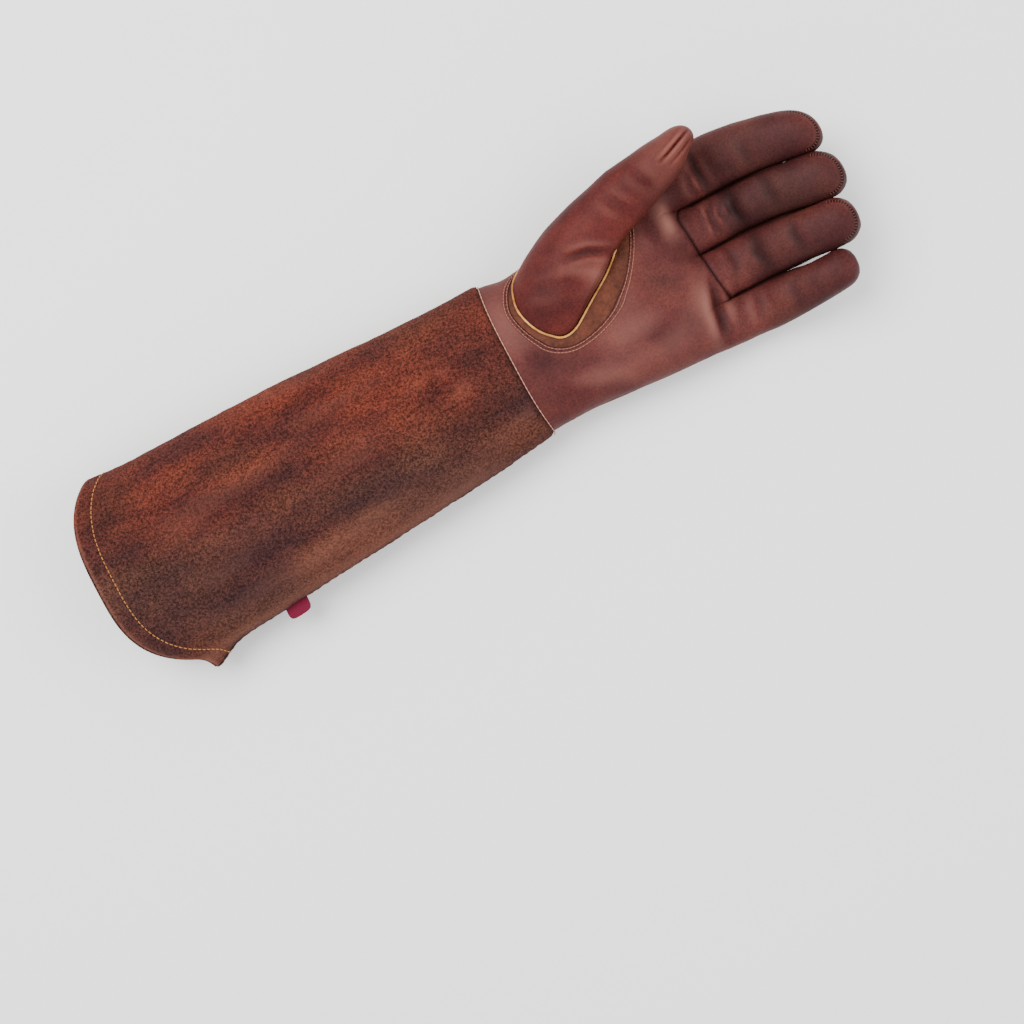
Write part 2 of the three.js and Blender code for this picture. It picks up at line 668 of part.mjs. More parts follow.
add('fourchette_ring_middle', fourchette(1), brownLeather);
add('fourchette_middle_index', fourchette(2), brownLeather);

// Gusset: the strip let in round the palm side of the thumb
const gussetStart = 14; // rows of the thumb's seam table between which the strip runs, past its start
const gussetEnd = 9;
const gussetRows = shares(26).map((share) => mix(gussetStart, seamLength + gussetEnd, share));
const gussetPoint = (t, share, inset) => seamPoint(t, gap + share * gussetWidth(t), -inset);
add('thumb_gusset', wallGeometry([gridOf(gussetRows, shares(3), gussetWall, gussetPoint)]), brownLeather);

// Thumb: rises from the seam on the hand and narrows to a rounded tip
function thumbRings() {
  const at = (column, along) => between(thumbSections, 'along', column, along);
  const centre = (along) =>
    new THREE.Vector3(
      thumbCrotch * handLength + along * thumbReach,
      at('out', along) * knuckleWidth,
      thumbRise * (1 + at('up', along)),
    );
  const sectionPoint = (along, angle) => {
    const past = THREE.MathUtils.clamp((along - (1 - thumbTipShare)) / thumbTipShare, 0, 1);
    const tip = (1 - past ** topRoundness) ** (1 / topRoundness);
    const halfWidth = (thumbWidth / 2) * at('wide', along) * tip;
    const halfDepth = (thumbDepth / 2) * at('deep', along) * tip;
    const [y, z] = rounded(angle, -halfWidth, halfDepth, topRoundness, topRoundness);
    const ahead = centre(Math.min(along + 0.05, 1)).sub(centre(Math.max(along - 0.05, 0))).normalize();
    const sideways = new THREE.Vector3(-ahead.y, ahead.x, 0).normalize();
    const upward = new THREE.Vector3().crossVectors(ahead, sideways);
    return centre(along).addScaledVector(sideways, y).addScaledVector(upward, z);
  };
  const ahead = centre(0.1).sub(centre(0)).normalize();
  const rings = [seamRows.map((i) => seamPoint(i, 0, -leatherWall))];
  for (const t of [0, 0.16, 0.36, 0.58, 0.8]) {
    rings.push(
      seamRows.map((i) => {
        const foot = seamPoint(i, -gap, 1);
        const out = foot.clone().sub(seamPoint(i, 0, -leatherWall)).normalize();
        const head = sectionPoint(0, thumbSeam[i].leadsTo);
        const length = head.distanceTo(foot);
        const chord = head.clone().sub(foot);
        const bulge = Math.min(thumbSwell, 0.35 * length);
        const first = foot.clone().addScaledVector(chord, 0.18).addScaledVector(out, bulge);
        const second = head.clone().addScaledVector(ahead, -0.38 * length);
        return new THREE.CubicBezierCurve3(foot, first, second, head).getPoint(t);
      }),
    );
  }
  for (const along of [0, 0.2, 0.38, 0.55, 0.7, 0.82, 0.9, 0.96, 0.99, 1]) {
    rings.push(seamRows.map((i) => sectionPoint(along, thumbSeam[i].leadsTo)));
  }
  return rings;
}

// A closed-round wall from rings of outer points, thickened inwards square to its own face.
function thickened(rings, wall) {
  const n = rings[0].length;
  const last = rings.length - 1;
  const tip = rings[last][0];
  const inner = rings.map((ring, r) =>
    ring.map((p, i) => {
      if (r === last) return tip.clone().add(rings[0][0].clone().sub(tip).normalize().multiplyScalar(wall));
      const round = ring[(i + 1) % n].clone().sub(ring[(i + n - 1) % n]);
      const up = rings[Math.min(r + 1, last)][i].clone().sub(rings[Math.max(r - 1, 0)][i]);
      return p.clone().addScaledVector(up.cross(round).normalize(), wall);
    }),
  );
  const loop = (ring) => [...ring, ring[0]];
  return wallGeometry([{ outer: rings.map(loop), inner: inner.map(loop) }]);
}
add('thumb', thickened(thumbRings(), leatherWall), leather);

// Piping: a yellow cord round the thumb's seam and another along the index finger's back edge
const rise = pipingDiameter / 2 + gap;
const thumbPiping = shares(54).slice(1).map((share) => seamPoint(share * seamLength, rise, rise));
add('thumb_piping', cordGeometry(thumbPiping, pipingDiameter, true, 5), yellowPiping);
const indexSeamPlaces = [0.03, ...handStations.slice(3), 0.93, 1, ...toTip.slice(0, 10)];
const indexPiping = indexSeamPlaces.map((along) => {
  const w = along - 1;
  const onFinger = fingerPoint(fingers[3], Math.max(w, 0), indexSeamOnFinger, -rise);
  if (w >= 0) return onFinger;
  onFinger.x = along * handLength;
  return handPoint(along, indexSeamOnHand, -rise).lerp(onFinger, smooth(along, 0.78, 1));
});
add('index_piping', cordGeometry(indexPiping, pipingDiameter, false), yellowPiping);

// Wrist piping: the pale cord in the seam between hand and cuff
const wristPiping = shares(40).slice(0, 40).map((share) => {
  const angle = 360 * share;
  const off = weltDiameter / 2 + gap;
  const sign = angle > 0 && angle < cuffSeamThumb ? 1 : -1;
  return handPoint((cuffEdges(angle).wrist + off) / handLength, angle, -off, sign * halfSeam);
});
add('wrist_piping', cordGeometry(wristPiping, weltDiameter, true, 5), palePiping);

// The glove's own frame: the middle of its footprint, on the table
const box = new THREE.Box3().setFromObject(glove);
const middle = box.getCenter(new THREE.Vector3());
for (const mesh of glove.children) mesh.geometry.translate(-middle.x, -middle.y, -box.min.z);

export default glove;
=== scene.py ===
import math

import bmesh
import bpy
import numpy as np
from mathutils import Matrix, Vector, noise
from mathutils.bvhtree import BVHTree


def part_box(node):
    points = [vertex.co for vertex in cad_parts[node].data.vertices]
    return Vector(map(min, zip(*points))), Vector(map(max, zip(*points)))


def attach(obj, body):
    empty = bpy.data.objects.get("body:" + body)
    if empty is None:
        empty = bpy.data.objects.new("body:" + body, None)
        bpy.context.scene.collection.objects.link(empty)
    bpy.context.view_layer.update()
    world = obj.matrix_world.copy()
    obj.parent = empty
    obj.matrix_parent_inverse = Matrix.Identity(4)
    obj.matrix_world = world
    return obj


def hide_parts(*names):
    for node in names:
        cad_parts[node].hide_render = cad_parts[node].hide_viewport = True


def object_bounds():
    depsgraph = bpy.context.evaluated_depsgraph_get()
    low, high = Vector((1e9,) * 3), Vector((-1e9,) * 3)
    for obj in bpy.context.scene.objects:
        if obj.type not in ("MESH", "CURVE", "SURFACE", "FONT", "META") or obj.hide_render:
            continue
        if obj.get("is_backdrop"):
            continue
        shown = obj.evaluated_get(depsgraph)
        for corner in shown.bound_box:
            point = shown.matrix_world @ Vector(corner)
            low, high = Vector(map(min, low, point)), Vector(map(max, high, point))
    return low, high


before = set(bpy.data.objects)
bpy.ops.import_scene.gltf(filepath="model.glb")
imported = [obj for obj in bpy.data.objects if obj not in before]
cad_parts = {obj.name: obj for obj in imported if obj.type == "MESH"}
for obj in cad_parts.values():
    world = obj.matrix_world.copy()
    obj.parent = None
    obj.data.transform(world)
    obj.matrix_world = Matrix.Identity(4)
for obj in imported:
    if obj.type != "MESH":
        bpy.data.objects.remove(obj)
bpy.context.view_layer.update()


# The table, the light and the camera.
# The glove is seen from straight above, turned so that its fingers point up and to the right, under a broad
# soft light from the upper left with a weaker one from the right.
turn_of_view = math.radians(28)
view_height = 1.2
view_centre = (-0.0158, -0.0772)
view_width, view_level = 0.6144, 0.025  # across the picture, at this height over the table
table_half, table_below = 3.0, 0.0002
table_grey = (0.93, 0.93, 0.93, 1)
white = (1, 1, 1)
window_white = (1, 0.985, 0.96)
room_strength = 1.3


def placed(name, data):
    made = bpy.data.objects.new(name, data)
    bpy.context.collection.objects.link(made)
    return made


def new_material(name, rough, shine=0.5):
    material = bpy.data.materials.new(name)
    material.use_nodes = True
    shader = material.node_tree.nodes["Principled BSDF"]
    shader.inputs["Roughness"].default_value = rough
    shader.inputs["Specular IOR Level"].default_value = shine
    return material, material.node_tree, shader


def soft_light(name, place, size, power, colour):
    light = bpy.data.lights.new(name, "AREA")
    light.shape = "DISK"
    light.size = size
    light.energy = power
    light.color = colour
    lamp = placed(name, light)
    lamp.location = place
    lamp.rotation_euler = (-Vector(place)).to_track_quat("-Z", "Y").to_euler()


camera_data = bpy.data.cameras.new("overhead_camera")
camera_data.angle = 2 * math.atan(view_width / 2 / (view_height - view_level))
camera_data.clip_start = 0.01
camera = placed("overhead_camera", camera_data)
camera.location = (*view_centre, view_height)
camera.rotation_euler = (0, 0, -turn_of_view)
bpy.context.scene.camera = camera

table_mesh = bpy.data.meshes.new("table")
table_corners = [(-table_half, -table_half, 0), (table_half, -table_half, 0),
                 (table_half, table_half, 0), (-table_half, table_half, 0)]
table_mesh.from_pydata(table_corners, [], [(0, 1, 2, 3)])
table = placed("table", table_mesh)
table.location.z = -table_below
table_paint, _, table_shader = new_material("pale_table", 0.9)
table_shader.inputs["Base Color"].default_value = table_grey
table_mesh.materials.append(table_paint)
table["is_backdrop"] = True

soft_light("window_light", (-0.5, 0.65, 1.5), 1.1, 36, window_white)
soft_light("fill_light", (1.0, -0.5, 1.3), 1.1, 12, white)
room = bpy.data.worlds.new("room")
room.use_nodes = True
room.node_tree.nodes["Background"].inputs["Color"].default_value = (*white, 1)
room.node_tree.nodes["Background"].inputs["Strength"].default_value = room_strength
bpy.context.scene.world = room


# Cuff: two panels of thick suede sewn down both sides to a tapering sleeve for the forearm.
# It lies flattened on the table, its mouth cut back at both sides, with soft dents and a mottled, worn nap.
# The edges of the panels are turned into the seams.
cuff_length = 280.0
cuff_wrist = (101.0, 50.0)  # width and depth
cuff_mouth = (136.0, 59.0)
cut_back_thumb, cut_back_little = 20.0, 36.0
corner_flare, corner_along, corner_round = 7.0, 13.0, 11.0  # mm, mm and degrees
wrist_dip = 3.5
suede_wall = 1.8
pressed_flat = 1.4
half_seam = 0.15
thumb_seam_angle = 198.0
hem_width = 11.0
cuff_round, low_round = 2.15, 3.0  # how square the section is above and below: 2 is an ellipse
cuff_along = [0, 0.18, 0.36, 0.54, 0.72, 0.84, 0.93, 1]
cuff_widened = [0, 0.17, 0.35, 0.52, 0.64, 0.72, 0.88, 1]
cuff_deepened = [0, 0.16, 0.25, 0.36, 0.5, 0.66, 0.86, 1]
cuff_sway = [0.074, 0.046, 0.035, 0.024, 0.008, -0.008, -0.016, -0.016]
dents_from = (0.04, 0.14)
cuff_dents = [  # place along, angle, reach along, reach round, depth
    (0.2, 70, 0.16, 20, 0.035),
    (0.5, 112, 0.22, 16, 0.03),
    (0.72, 62, 0.15, 18, 0.04),
    (0.42, 40, 0.25, 12, 0.025),
]
mm = 0.001
# The wrist seam's place in the shared frame, in mm
frame_shift = np.array([
    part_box("cuff_palm_side")[0].x * 1000 + cuff_length,
    (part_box("wrist_piping")[0].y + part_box("wrist_piping")[1].y) * 500 - cuff_sway[0] * cuff_wrist[0],
    0.0,
])


def smooth_between(places, values, at):
    places, values = np.asarray(places, float), np.asarray(values, float)
    slopes = np.empty(len(values))
    slopes[1:-1] = (values[2:] - values[:-2]) / (places[2:] - places[:-2])
    slopes[0] = (values[1] - values[0]) / (places[1] - places[0])
    slopes[-1] = (values[-1] - values[-2]) / (places[-1] - places[-2])
    at = np.asarray(at, float)
    i = np.clip(np.searchsorted(places, at, side="left") - 1, 0, len(places) - 2)
    span = places[i + 1] - places[i]
    t = np.clip((at - places[i]) / span, 0, 1)
    t2, t3 = t * t, t * t * t
    ends = (2 * t3 - 3 * t2 + 1) * values[i] + (3 * t2 - 2 * t3) * values[i + 1]
    return ends + ((t3 - 2 * t2 + t) * slopes[i] + (t3 - t2) * slopes[i + 1]) * span


def ease(x, low, high):
    t = np.clip((np.asarray(x, float) - low) / (high - low), 0, 1)
    return t * t * (3 - 2 * t)


def bell(x):
    return np.exp(-np.square(x))


def rounded(angle, half_width, half_depth, top, low):
    c, s = np.cos(np.radians(angle)), np.sin(np.radians(angle))
    n = np.where(s >= 0, top, low)
    y = -half_width * np.sign(c) * np.abs(c) ** (2 / n)
    z = half_depth * np.sign(s) * np.abs(s) ** (2 / n)
    return y, z


def resting(z, inset, seam):
    return np.maximum(z - pressed_flat, inset + seam + half_seam)


def cuff_point(x, angle, inset=0.0, seam=0.0):
    x, angle = np.broadcast_arrays(np.asarray(x, float), np.asarray(angle, float))
    along = -x / cuff_length
    widened = smooth_between(cuff_along, cuff_widened, along)
    deepened = smooth_between(cuff_along, cuff_deepened, along)
    half_width = (cuff_wrist[0] + (cuff_mouth[0] - cuff_wrist[0]) * widened) / 2
    half_depth = (cuff_wrist[1] + (cuff_mouth[1] - cuff_wrist[1]) * deepened) / 2
    y, z = rounded(angle, half_width - inset, half_depth - inset, cuff_round, low_round)
    dent = sum(
        deep * cuff_wrist[1] * bell((along - place) / reach) * bell((angle - around) / wide)
        for place, around, reach, wide, deep in cuff_dents
    )
    dent = dent * ease(along, *dents_from)
    near = (angle + 540) % 360 - 180
    corner = bell((x + cuff_length - cut_back_little) / corner_along) * bell(near / corner_round)
    sway = smooth_between(cuff_along, cuff_sway, along) * cuff_wrist[0]
    up = resting(half_depth + z + seam - dent, inset, seam)
    return np.stack([x, sway + y - corner * corner_flare, up], -1)


def cuff_edges(angle):
    side = -np.cos(np.radians(angle))
    cut_back = np.where(side > 0, cut_back_thumb, cut_back_little)
    return -wrist_dip * (1 - np.abs(side) ** 3), -cuff_length + cut_back * np.abs(side) ** 3


def row_lengths(points, axis):
    """How far each point of a grid is from its first row or column, over the surface."""
    step = np.linalg.norm(np.diff(points, axis=axis), axis=-1)
    zero = np.zeros_like(np.take(step, [0], axis=axis))
    return np.concatenate([zero, np.cumsum(step, axis=axis)], axis=axis)


def uneven(points, size, seed):
    """A soft unevenness from -1 to 1 with humps of about that size in mm."""
    flat = points.reshape(-1, 3) / size + seed
    values = [noise.noise(Vector(p)) for p in flat]
    return np.array(values).reshape(points.shape[:-1])


lip_height, lip_place, lip_width = 0.45, 2.2, 1.1  # a low lip on each side of a fold, in shares of its size


def fold_field(points, folds):
    """Depth of soft folds drawn in plan: each is a line of (x, y) in mm with a depth and a half width."""
    flat = points[..., :2].reshape(-1, 2)
    total = np.zeros(len(flat))
    for line, deep, wide in folds:
        line = np.array(line, float)
        lengths = np.linalg.norm(np.diff(line, axis=0), axis=1)
        best = np.full(len(flat), 1e9)
        place = np.zeros(len(flat))
        for k, (p, q) in enumerate(zip(line[:-1], line[1:])):
            t = np.clip((flat - p) @ (q - p) / lengths[k] ** 2, 0, 1)
            far = np.linalg.norm(flat - (p + t[:, None] * (q - p)), axis=1)
            nearer = far < best
            place[nearer] = ((lengths[:k].sum() + t * lengths[k]) / lengths.sum())[nearer]
            best = np.minimum(best, far)
        taper = np.sin(np.pi * np.clip(place, 0.02, 0.98)) ** 0.6
        shape = bell(best / wide) - lip_height * bell((best - lip_place * wide) / (lip_width * wide))
        total += deep * taper * shape
    return total.reshape(points.shape[:-1])


def shifted_in(outer, inner, depth):
    """Moves a wall's two faces towards its inside by a depth in mm at each point."""
    inward = inner - outer
    inward /= np.maximum(np.linalg.norm(inward, axis=-1, keepdims=True), 1e-6)
    return outer + inward * depth[..., None], inner + inward * depth[..., None]


joined_within = 1 / 200  # mm, points nearer than this become one
crisp_angle = 1.0  # radians between two faces from which their edge stays sharp


def sewn_wall(name, grids, drop=None, snap=None, ash=None):
    """A closed leather wall from grids of (outer points, inner points, tone). Grids that share points join.
    ash, if given, tells from the points in mm how much greyer the leather is."""
    outer = np.concatenate([g[0].reshape(-1, 3) for g in grids])
    inner = np.concatenate([g[1].reshape(-1, 3) for g in grids])
    tone = np.concatenate([g[2].ravel() for g in grids])
    keys = np.round(outer / joined_within).astype(np.int64)
    _, first, index = np.unique(keys, axis=0, return_index=True, return_inverse=True)
    index = index.ravel()
    outer, inner, tone = outer[first], inner[first], tone[first]
    quads, start = [], 0
    for g in grids:
        rows, columns = g[0].shape[:2]
        ids = index[start:start + rows * columns].reshape(rows, columns)
        start += rows * columns
        quads.append(np.stack([ids[:-1, :-1], ids[1:, :-1], ids[1:, 1:], ids[:-1, 1:]], -1).reshape(-1, 4))
    quads = np.concatenate(quads)
    if drop is not None:
        quads = quads[~drop(outer[quads].mean(axis=1))]
    faces = [list(dict.fromkeys(quad)) for quad in quads.tolist()]
    faces = [face for face in faces if len(face) > 2]
    edges = dict.fromkeys((a, b) for face in faces for a, b in zip(face, face[1:] + face[:1]))
    rim = [(a, b) for a, b in edges if (b, a) not in edges]
    if snap is not None:
        snap(outer, inner, tone, sorted({a for a, _ in rim}))
    n = len(outer)
    every = faces + [[n + v for v in reversed(face)] for face in faces]
    every += [[b, a, n + a, n + b] for a, b in rim]
    points = (np.concatenate([outer, inner]) + frame_shift) * mm
    mesh = bpy.data.meshes.new(name)
    mesh.from_pydata(points.tolist(), [], every)
    mesh.validate()
    shades = mesh.attributes.new("tone", "FLOAT", "POINT")
    shades.data.foreach_set("value", np.concatenate([tone, tone]).astype(np.float32))
    if ash is not None:
        grey = ash(outer)
        greyed = mesh.attributes.new("ash", "FLOAT", "POINT")
        greyed.data.foreach_set("value", np.concatenate([grey, grey]).astype(np.float32))
    return clean_piece(name, mesh)


def clean_piece(name, mesh):
    """A piece with its faces outwards and smooth, the cut edges kept crisp, and no loose points."""
    bm = bmesh.new()
    bm.from_mesh(mesh)
    bmesh.ops.delete(bm, geom=[v for v in bm.verts if not v.link_faces], context="VERTS")
    bmesh.ops.recalc_face_normals(bm, faces=bm.faces)
    for face in bm.faces:
        face.smooth = True
    for edge in bm.edges:
        if len(edge.link_faces) == 2 and edge.calc_face_angle() > crisp_angle:
            edge.smooth = False
    bm.to_mesh(mesh)
    bm.free()
    return placed(name, mesh)


def add_node(tree, kind, **values):
    made = tree.nodes.new(kind)
    for key, value in values.items():
        if hasattr(made, key):
            setattr(made, key, value)
        else:
            made.inputs[key.replace("_", " ")].default_value = value
    return made


def ramp(tree, source, *stops):
    made = add_node(tree, "ShaderNodeValToRGB")
    tree.links.new(source, made.inputs["Fac"])
    elements = made.color_ramp.elements
    while len(elements) < len(stops):
        elements.new(0.5)
    for element, (at, colour) in zip(elements, stops):
        element.position = at
        element.color = (*colour, 1)
    return made.outputs["Color"]


def blended(tree, kind, amount, first, second):
    made = add_node(tree, "ShaderNodeMix", data_type="RGBA", blend_type=kind)
    for socket, value in ((made.inputs[0], amount), (made.inputs[6], first), (made.inputs[7], second)):
        if hasattr(value, "is_linked"):
            tree.links.new(value, socket)
        else:
            socket.default_value = (*value, 1) if isinstance(value, tuple) else value
    return made.outputs[2]


def bumped(tree, source, strength, distance):
    made = add_node(tree, "ShaderNodeBump", Strength=strength, Distance=distance)
    tree.links.new(source, made.inputs["Height"])
    return made


hide_shine = 0.12
nap_rough = 0.6
ash_tint = (0.46, 0.92, 1.25)
# Tints that a tone above 0 darkens towards: painted shade in seams and folds, and darker patches
shade_and_patch_tints = ((0.0, white), (0.6, (0.4, 0.46, 0.5)), (1.0, (0.16, 0.12, 0.12)))


def hide_material(name, colours, rough, grain, bump, fuzz=0.0, streak=1.0, seed=0.0):
    """Leather or suede: dark, middle and light colours in soft patches, with grain, and a fourth colour
    for worn places and painted highlights. The piece's own tone darkens it with painted shade in its
    folds and seams and with darker patches, and lightens it towards the fourth colour; ash makes it
    greyer. rough holds the mottle's two roughnesses, and bump a strength and a distance in metres for
    the mottle and the grain."""
    material, tree, shader = new_material(name, rough[0], hide_shine)
    if fuzz:
        shader.inputs["Sheen Weight"].default_value = fuzz
        shader.inputs["Sheen Roughness"].default_value = nap_rough
        shader.inputs["Sheen Tint"].default_value = (*colours[2], 1)
    place = add_node(tree, "ShaderNodeTexCoord")
    stretch = add_node(tree, "ShaderNodeMapping", Scale=(1 / streak, 1, 1), Location=(seed, seed * 0.7, 0))
    tree.links.new(place.outputs["Object"], stretch.inputs["Vector"])
    patches = add_node(tree, "ShaderNodeTexNoise", Scale=grain["patch"], Detail=4.0, Roughness=0.55)
    mottle = add_node(tree, "ShaderNodeTexNoise", Scale=grain["mottle"], Detail=3.0, Roughness=0.6)
    fine = add_node(tree, "ShaderNodeTexNoise", Scale=grain["fine"], Detail=2.0, Roughness=0.6)
    pores = add_node(tree, "ShaderNodeTexVoronoi", Scale=grain["pores"])
    tree.links.new(stretch.outputs["Vector"], patches.inputs["Vector"])
    for texture in (mottle, fine, pores):
        tree.links.new(place.outputs["Object"], texture.inputs["Vector"])
    base = ramp(tree, patches.outputs["Fac"], (0.36, colours[0]), (0.5, colours[1]), (0.66, colours[2]))
    speckle = ramp(tree, mottle.outputs["Fac"], (0.35, (grain["dark"],) * 3), (0.62, white))
    base = blended(tree, "MULTIPLY", 1.0, base, speckle)
    specks = ramp(tree, fine.outputs["Fac"], (0.36, (grain["speck"],) * 3), (0.56, white))
    base = blended(tree, "MULTIPLY", 1.0, base, specks)
    greyed = add_node(tree, "ShaderNodeAttribute", attribute_name="ash")
    ashen = blended(tree, "MULTIPLY", 1.0, base, ash_tint)
    base = blended(tree, "MIX", greyed.outputs["Fac"], base, ashen)
    tone = add_node(tree, "ShaderNodeAttribute", attribute_name="tone")
    base = blended(tree, "MULTIPLY", 1.0, base, ramp(tree, tone.outputs["Fac"], *shade_and_patch_tints))
    # A tone below 0 mixes the colour towards the fourth one: worn places and painted highlights
    rub_and_highlight = add_node(tree, "ShaderNodeMath", operation="MULTIPLY", use_clamp=True)
    rub_and_highlight.inputs[1].default_value = -1.0
    tree.links.new(tone.outputs["Fac"], rub_and_highlight.inputs[0])
    base = blended(tree, "MIX", rub_and_highlight.outputs[0], base, colours[3])
    tree.links.new(base, shader.inputs["Base Color"])
    if rough[1] != rough[0]:
        gloss = add_node(tree, "ShaderNodeMapRange", To_Min=rough[0], To_Max=rough[1])
        tree.links.new(mottle.outputs["Fac"], gloss.inputs["Value"])
        tree.links.new(gloss.outputs["Result"], shader.inputs["Roughness"])
    height = add_node(tree, "ShaderNodeMath", operation="ADD")
    tree.links.new(fine.outputs["Fac"], height.inputs[0])
    tree.links.new(pores.outputs["Distance"], height.inputs[1])
    wide = bumped(tree, mottle.outputs["Fac"], *bump[:2])
    small = bumped(tree, height.outputs[0], *bump[2:])
    tree.links.new(wide.outputs["Normal"], small.inputs["Normal"])
    tree.links.new(small.outputs["Normal"], shader.inputs["Normal"])
    return material


suede_nap = hide_material(
    "suede",
    [(0.104, 0.0235, 0.0185), (0.174, 0.034, 0.021), (0.252, 0.049, 0.0245), (0.25, 0.098, 0.066)],
    (0.92, 0.92),
    {"patch": 38.0, "mottle": 680.0, "fine": 1500.0, "pores": 1000.0, "dark": 0.26, "speck": 0.42},
    (1.0, 0.0011, 0.7, 0.0005),
    fuzz=0.1,
    streak=2.4,
)


def dressed(piece, material, slot, *nodes):
    piece.data.materials.append(material)
    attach(piece, "root")
    if nodes:
        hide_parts(*nodes)


def patch(points, x, y, reach_x, reach_y):
    """A soft round patch seen in plan, 1 in its middle."""
    return bell((points[..., 0] - x) / reach_x) * bell((points[..., 1] - y) / reach_y)


# Worn and greyed places of the nap in plan, mm from the wrist seam: x, y, reach along, reach across,
# how much darker, how much greyer
nap_marks = [
    (-255, 42, 22, 18, 0.3, 0.5), (-178, 33, 30, 8, 0.25, 0.35), (-35, 54, 42, 10, 0.25, 0.3),
    (-248, 0, 16, 14, 0.12, 0.0), (-205, 12, 30, 10, -0.13, -0.3), (-114, -2, 28, 11, -0.12, -0.4),
    (-200, -34, 26, 9, -0.08, -0.15), (-38, 8, 8, 12, -0.2, -0.4), (-42, 30, 12, 8, 0.15, 0.1),
]
darker, greyer = 4, 5
upper_face = (12, 34)  # the wear fades in between these heights


def worn(points, column):
    marks = sum(mark[column] * patch(points, *mark[:4]) for mark in nap_marks)
    return marks * ease(points[..., 2], *upper_face)


def cuff_ash(points):
    """Greyer and darker towards the little-finger side of the palm panel, and much less on the back."""
    low = 1 - ease(points[:, 1] + 0.08 * points[:, 0], -30, 22)
    wave = 0.5 + 0.5 * np.sin(points[:, 0] * 0.045 + points[:, 1] * 0.06 + 1.1)
    greyed = np.clip(0.05 + 0.75 * low + 0.25 * wave + worn(points, greyer), 0, 1)
    return greyed * (0.3 + 0.7 * ease(points[:, 2], *upper_face))


panel_rows, panel_columns = 176, 118
side_tuck, mouth_tuck, wrist_tuck = (1.1, 2.6), (0.5, 1.6), (0.9, 2.2)  # depth that an edge turns in, width
cuff_puckers = (0.25, 1.1, 5.0)  # depth, turn for each mm, reach from the seam
suede_humps = [(0.55, 26, 0), (0.28, 9, 5), (0.14, 4, 9)]  # height, size, seed
# Stripes of the tone: how much darker, where, how wide. side_shade and wrist_shade are painted shade
# where the panel's edges turn into their seams, and row_groove also darkens the row's groove with painted
# shade.
row_groove = (0.35, hem_width, 1.1)
side_shade, wrist_shade, mouth_light = (0.95, 0, 1.6), (0.5, 0, 1.2), (-0.35, 1.6, 1.2)
middle_band, wrist_band = (0.12, -14, 13), (0.15, -12, 18)
lower_band, seam_band = (-0.2, -23, 7), (-0.25, 10, 6)
# cuff_fold_shade paints shade in the folds and highlights on the lips beside them
cuff_fold_shade = (0.25, -0.12, 0.5)  # for each mm of depth, lightest, darkest


def stripes(distance, *rows):
    return sum(strength * bell((distance - place) / wide) for strength, place, wide in rows)


def tucked(distance, deep, wide):
    return deep * (1 - ease(distance, 0, wide))


def puckers(run, to_seam, deep, turn, reach, start=0.0):
    return deep * np.sin(run * turn + start) * bell(to_seam / reach)


def humps(points, sizes, seed=0.0):
    return sum(high * uneven(points, size, seed + own) for high, size, own in sizes)


def shaded(fold, strength, lightest, darkest):
    return np.clip(fold * strength, lightest, darkest)


def cuff_panel(name, start, end, seam, folds, seed):
    angle = np.broadcast_to(np.linspace(start, end, panel_columns), (panel_rows, panel_columns))
    wrist, mouth = cuff_edges(angle)
    x = wrist + (mouth - wrist) * np.linspace(0, 1, panel_rows)[:, None]
    outer = cuff_point(x, angle, 0, seam)
    inner = cuff_point(x, angle, suede_wall, seam)
    round_it, along_it = row_lengths(outer, 1), row_lengths(outer, 0)
    to_seam = np.minimum(round_it, round_it[:, -1:] - round_it)
    to_mouth = along_it[-1:] - along_it
    fold = fold_field(outer, folds)
    relief = fold + humps(outer, suede_humps, seed) + puckers(along_it, to_seam, *cuff_puckers, seed)
    relief *= ease(outer[..., 2], 0.4, 6) * ease(along_it, 0, 12) * ease(to_mouth, 0, 4)
    groove = stripes(to_mouth, row_groove)
    tuck = tucked(to_seam, *side_tuck) + tucked(to_mouth, *mouth_tuck) + tucked(along_it, *wrist_tuck)
    outer, inner = shifted_in(outer, inner, tuck + groove + relief)
    from_wrist, across = -outer[..., 0], outer[..., 1]
    # Painted shade where the panel's edges turn into the side seams and the wrist seam
    tone = stripes(to_seam, side_shade) + stripes(along_it, wrist_shade) + stripes(to_mouth, mouth_light)
    # Painted shade in the folds and in the row's groove, painted highlights on the folds' lips, and the nap's
    # worn marks
    tone += shaded(fold, *cuff_fold_shade) + 0.2 * groove + worn(outer, darker)
    # Painted shade: a dark line along the mouth on the little-finger side, where the back panel's edge lies in
    # shade
    tone += 0.9 * (1 - ease(to_mouth, 0.3, 1.3)) * (1 - ease(across, 0, 30))
    tone += stripes(across, middle_band) * ease(from_wrist, 0, 40) * (1 - ease(from_wrist, 120, 200))
    tone += stripes(across, wrist_band) * (1 - ease(from_wrist, 30, 70))
    lower_light = stripes(across + 0.12 * from_wrist, lower_band) * ease(outer[..., 2], *upper_face)
    tone += lower_light * (1 - ease(from_wrist, 150, 210))
    if start == 0:
        tone += stripes(round_it, seam_band) * ease(from_wrist, 20, 60)
    return sewn_wall(name, [(outer, inner, tone)], ash=cuff_ash)


cuff_palm_folds = [
    ([(-70, 46), (-110, 44), (-160, 46)], 0.8, 5),
    ([(-20, -20), (-60, -30), (-110, -38)], 0.7, 6),
    ([(-120, 10), (-170, 4), (-215, 10)], 0.6, 7),
    ([(-12, 25), (-40, 12), (-75, 5)], 0.5, 5),
    ([(-180, -30), (-215, -36), (-245, -30)], 0.6, 5),
]
cuff_back_folds = [([(-60, -20), (-120, -24), (-170, -18)], 0.6, 6), ([(-100, 24), (-160, 20)], 0.6, 6)]
cuff_palm = cuff_panel("cuff_palm_panel", 0.0, thumb_seam_angle, half_seam, cuff_palm_folds, 3.1)
cuff_back = cuff_panel("cuff_back_panel", thumb_seam_angle - 360, 0.0, -half_seam, cuff_back_folds, 7.7)
dressed(cuff_palm, suede_nap, "suede", "cuff_palm_side")
dressed(cuff_back, suede_nap, "suede", "cuff_back_side")


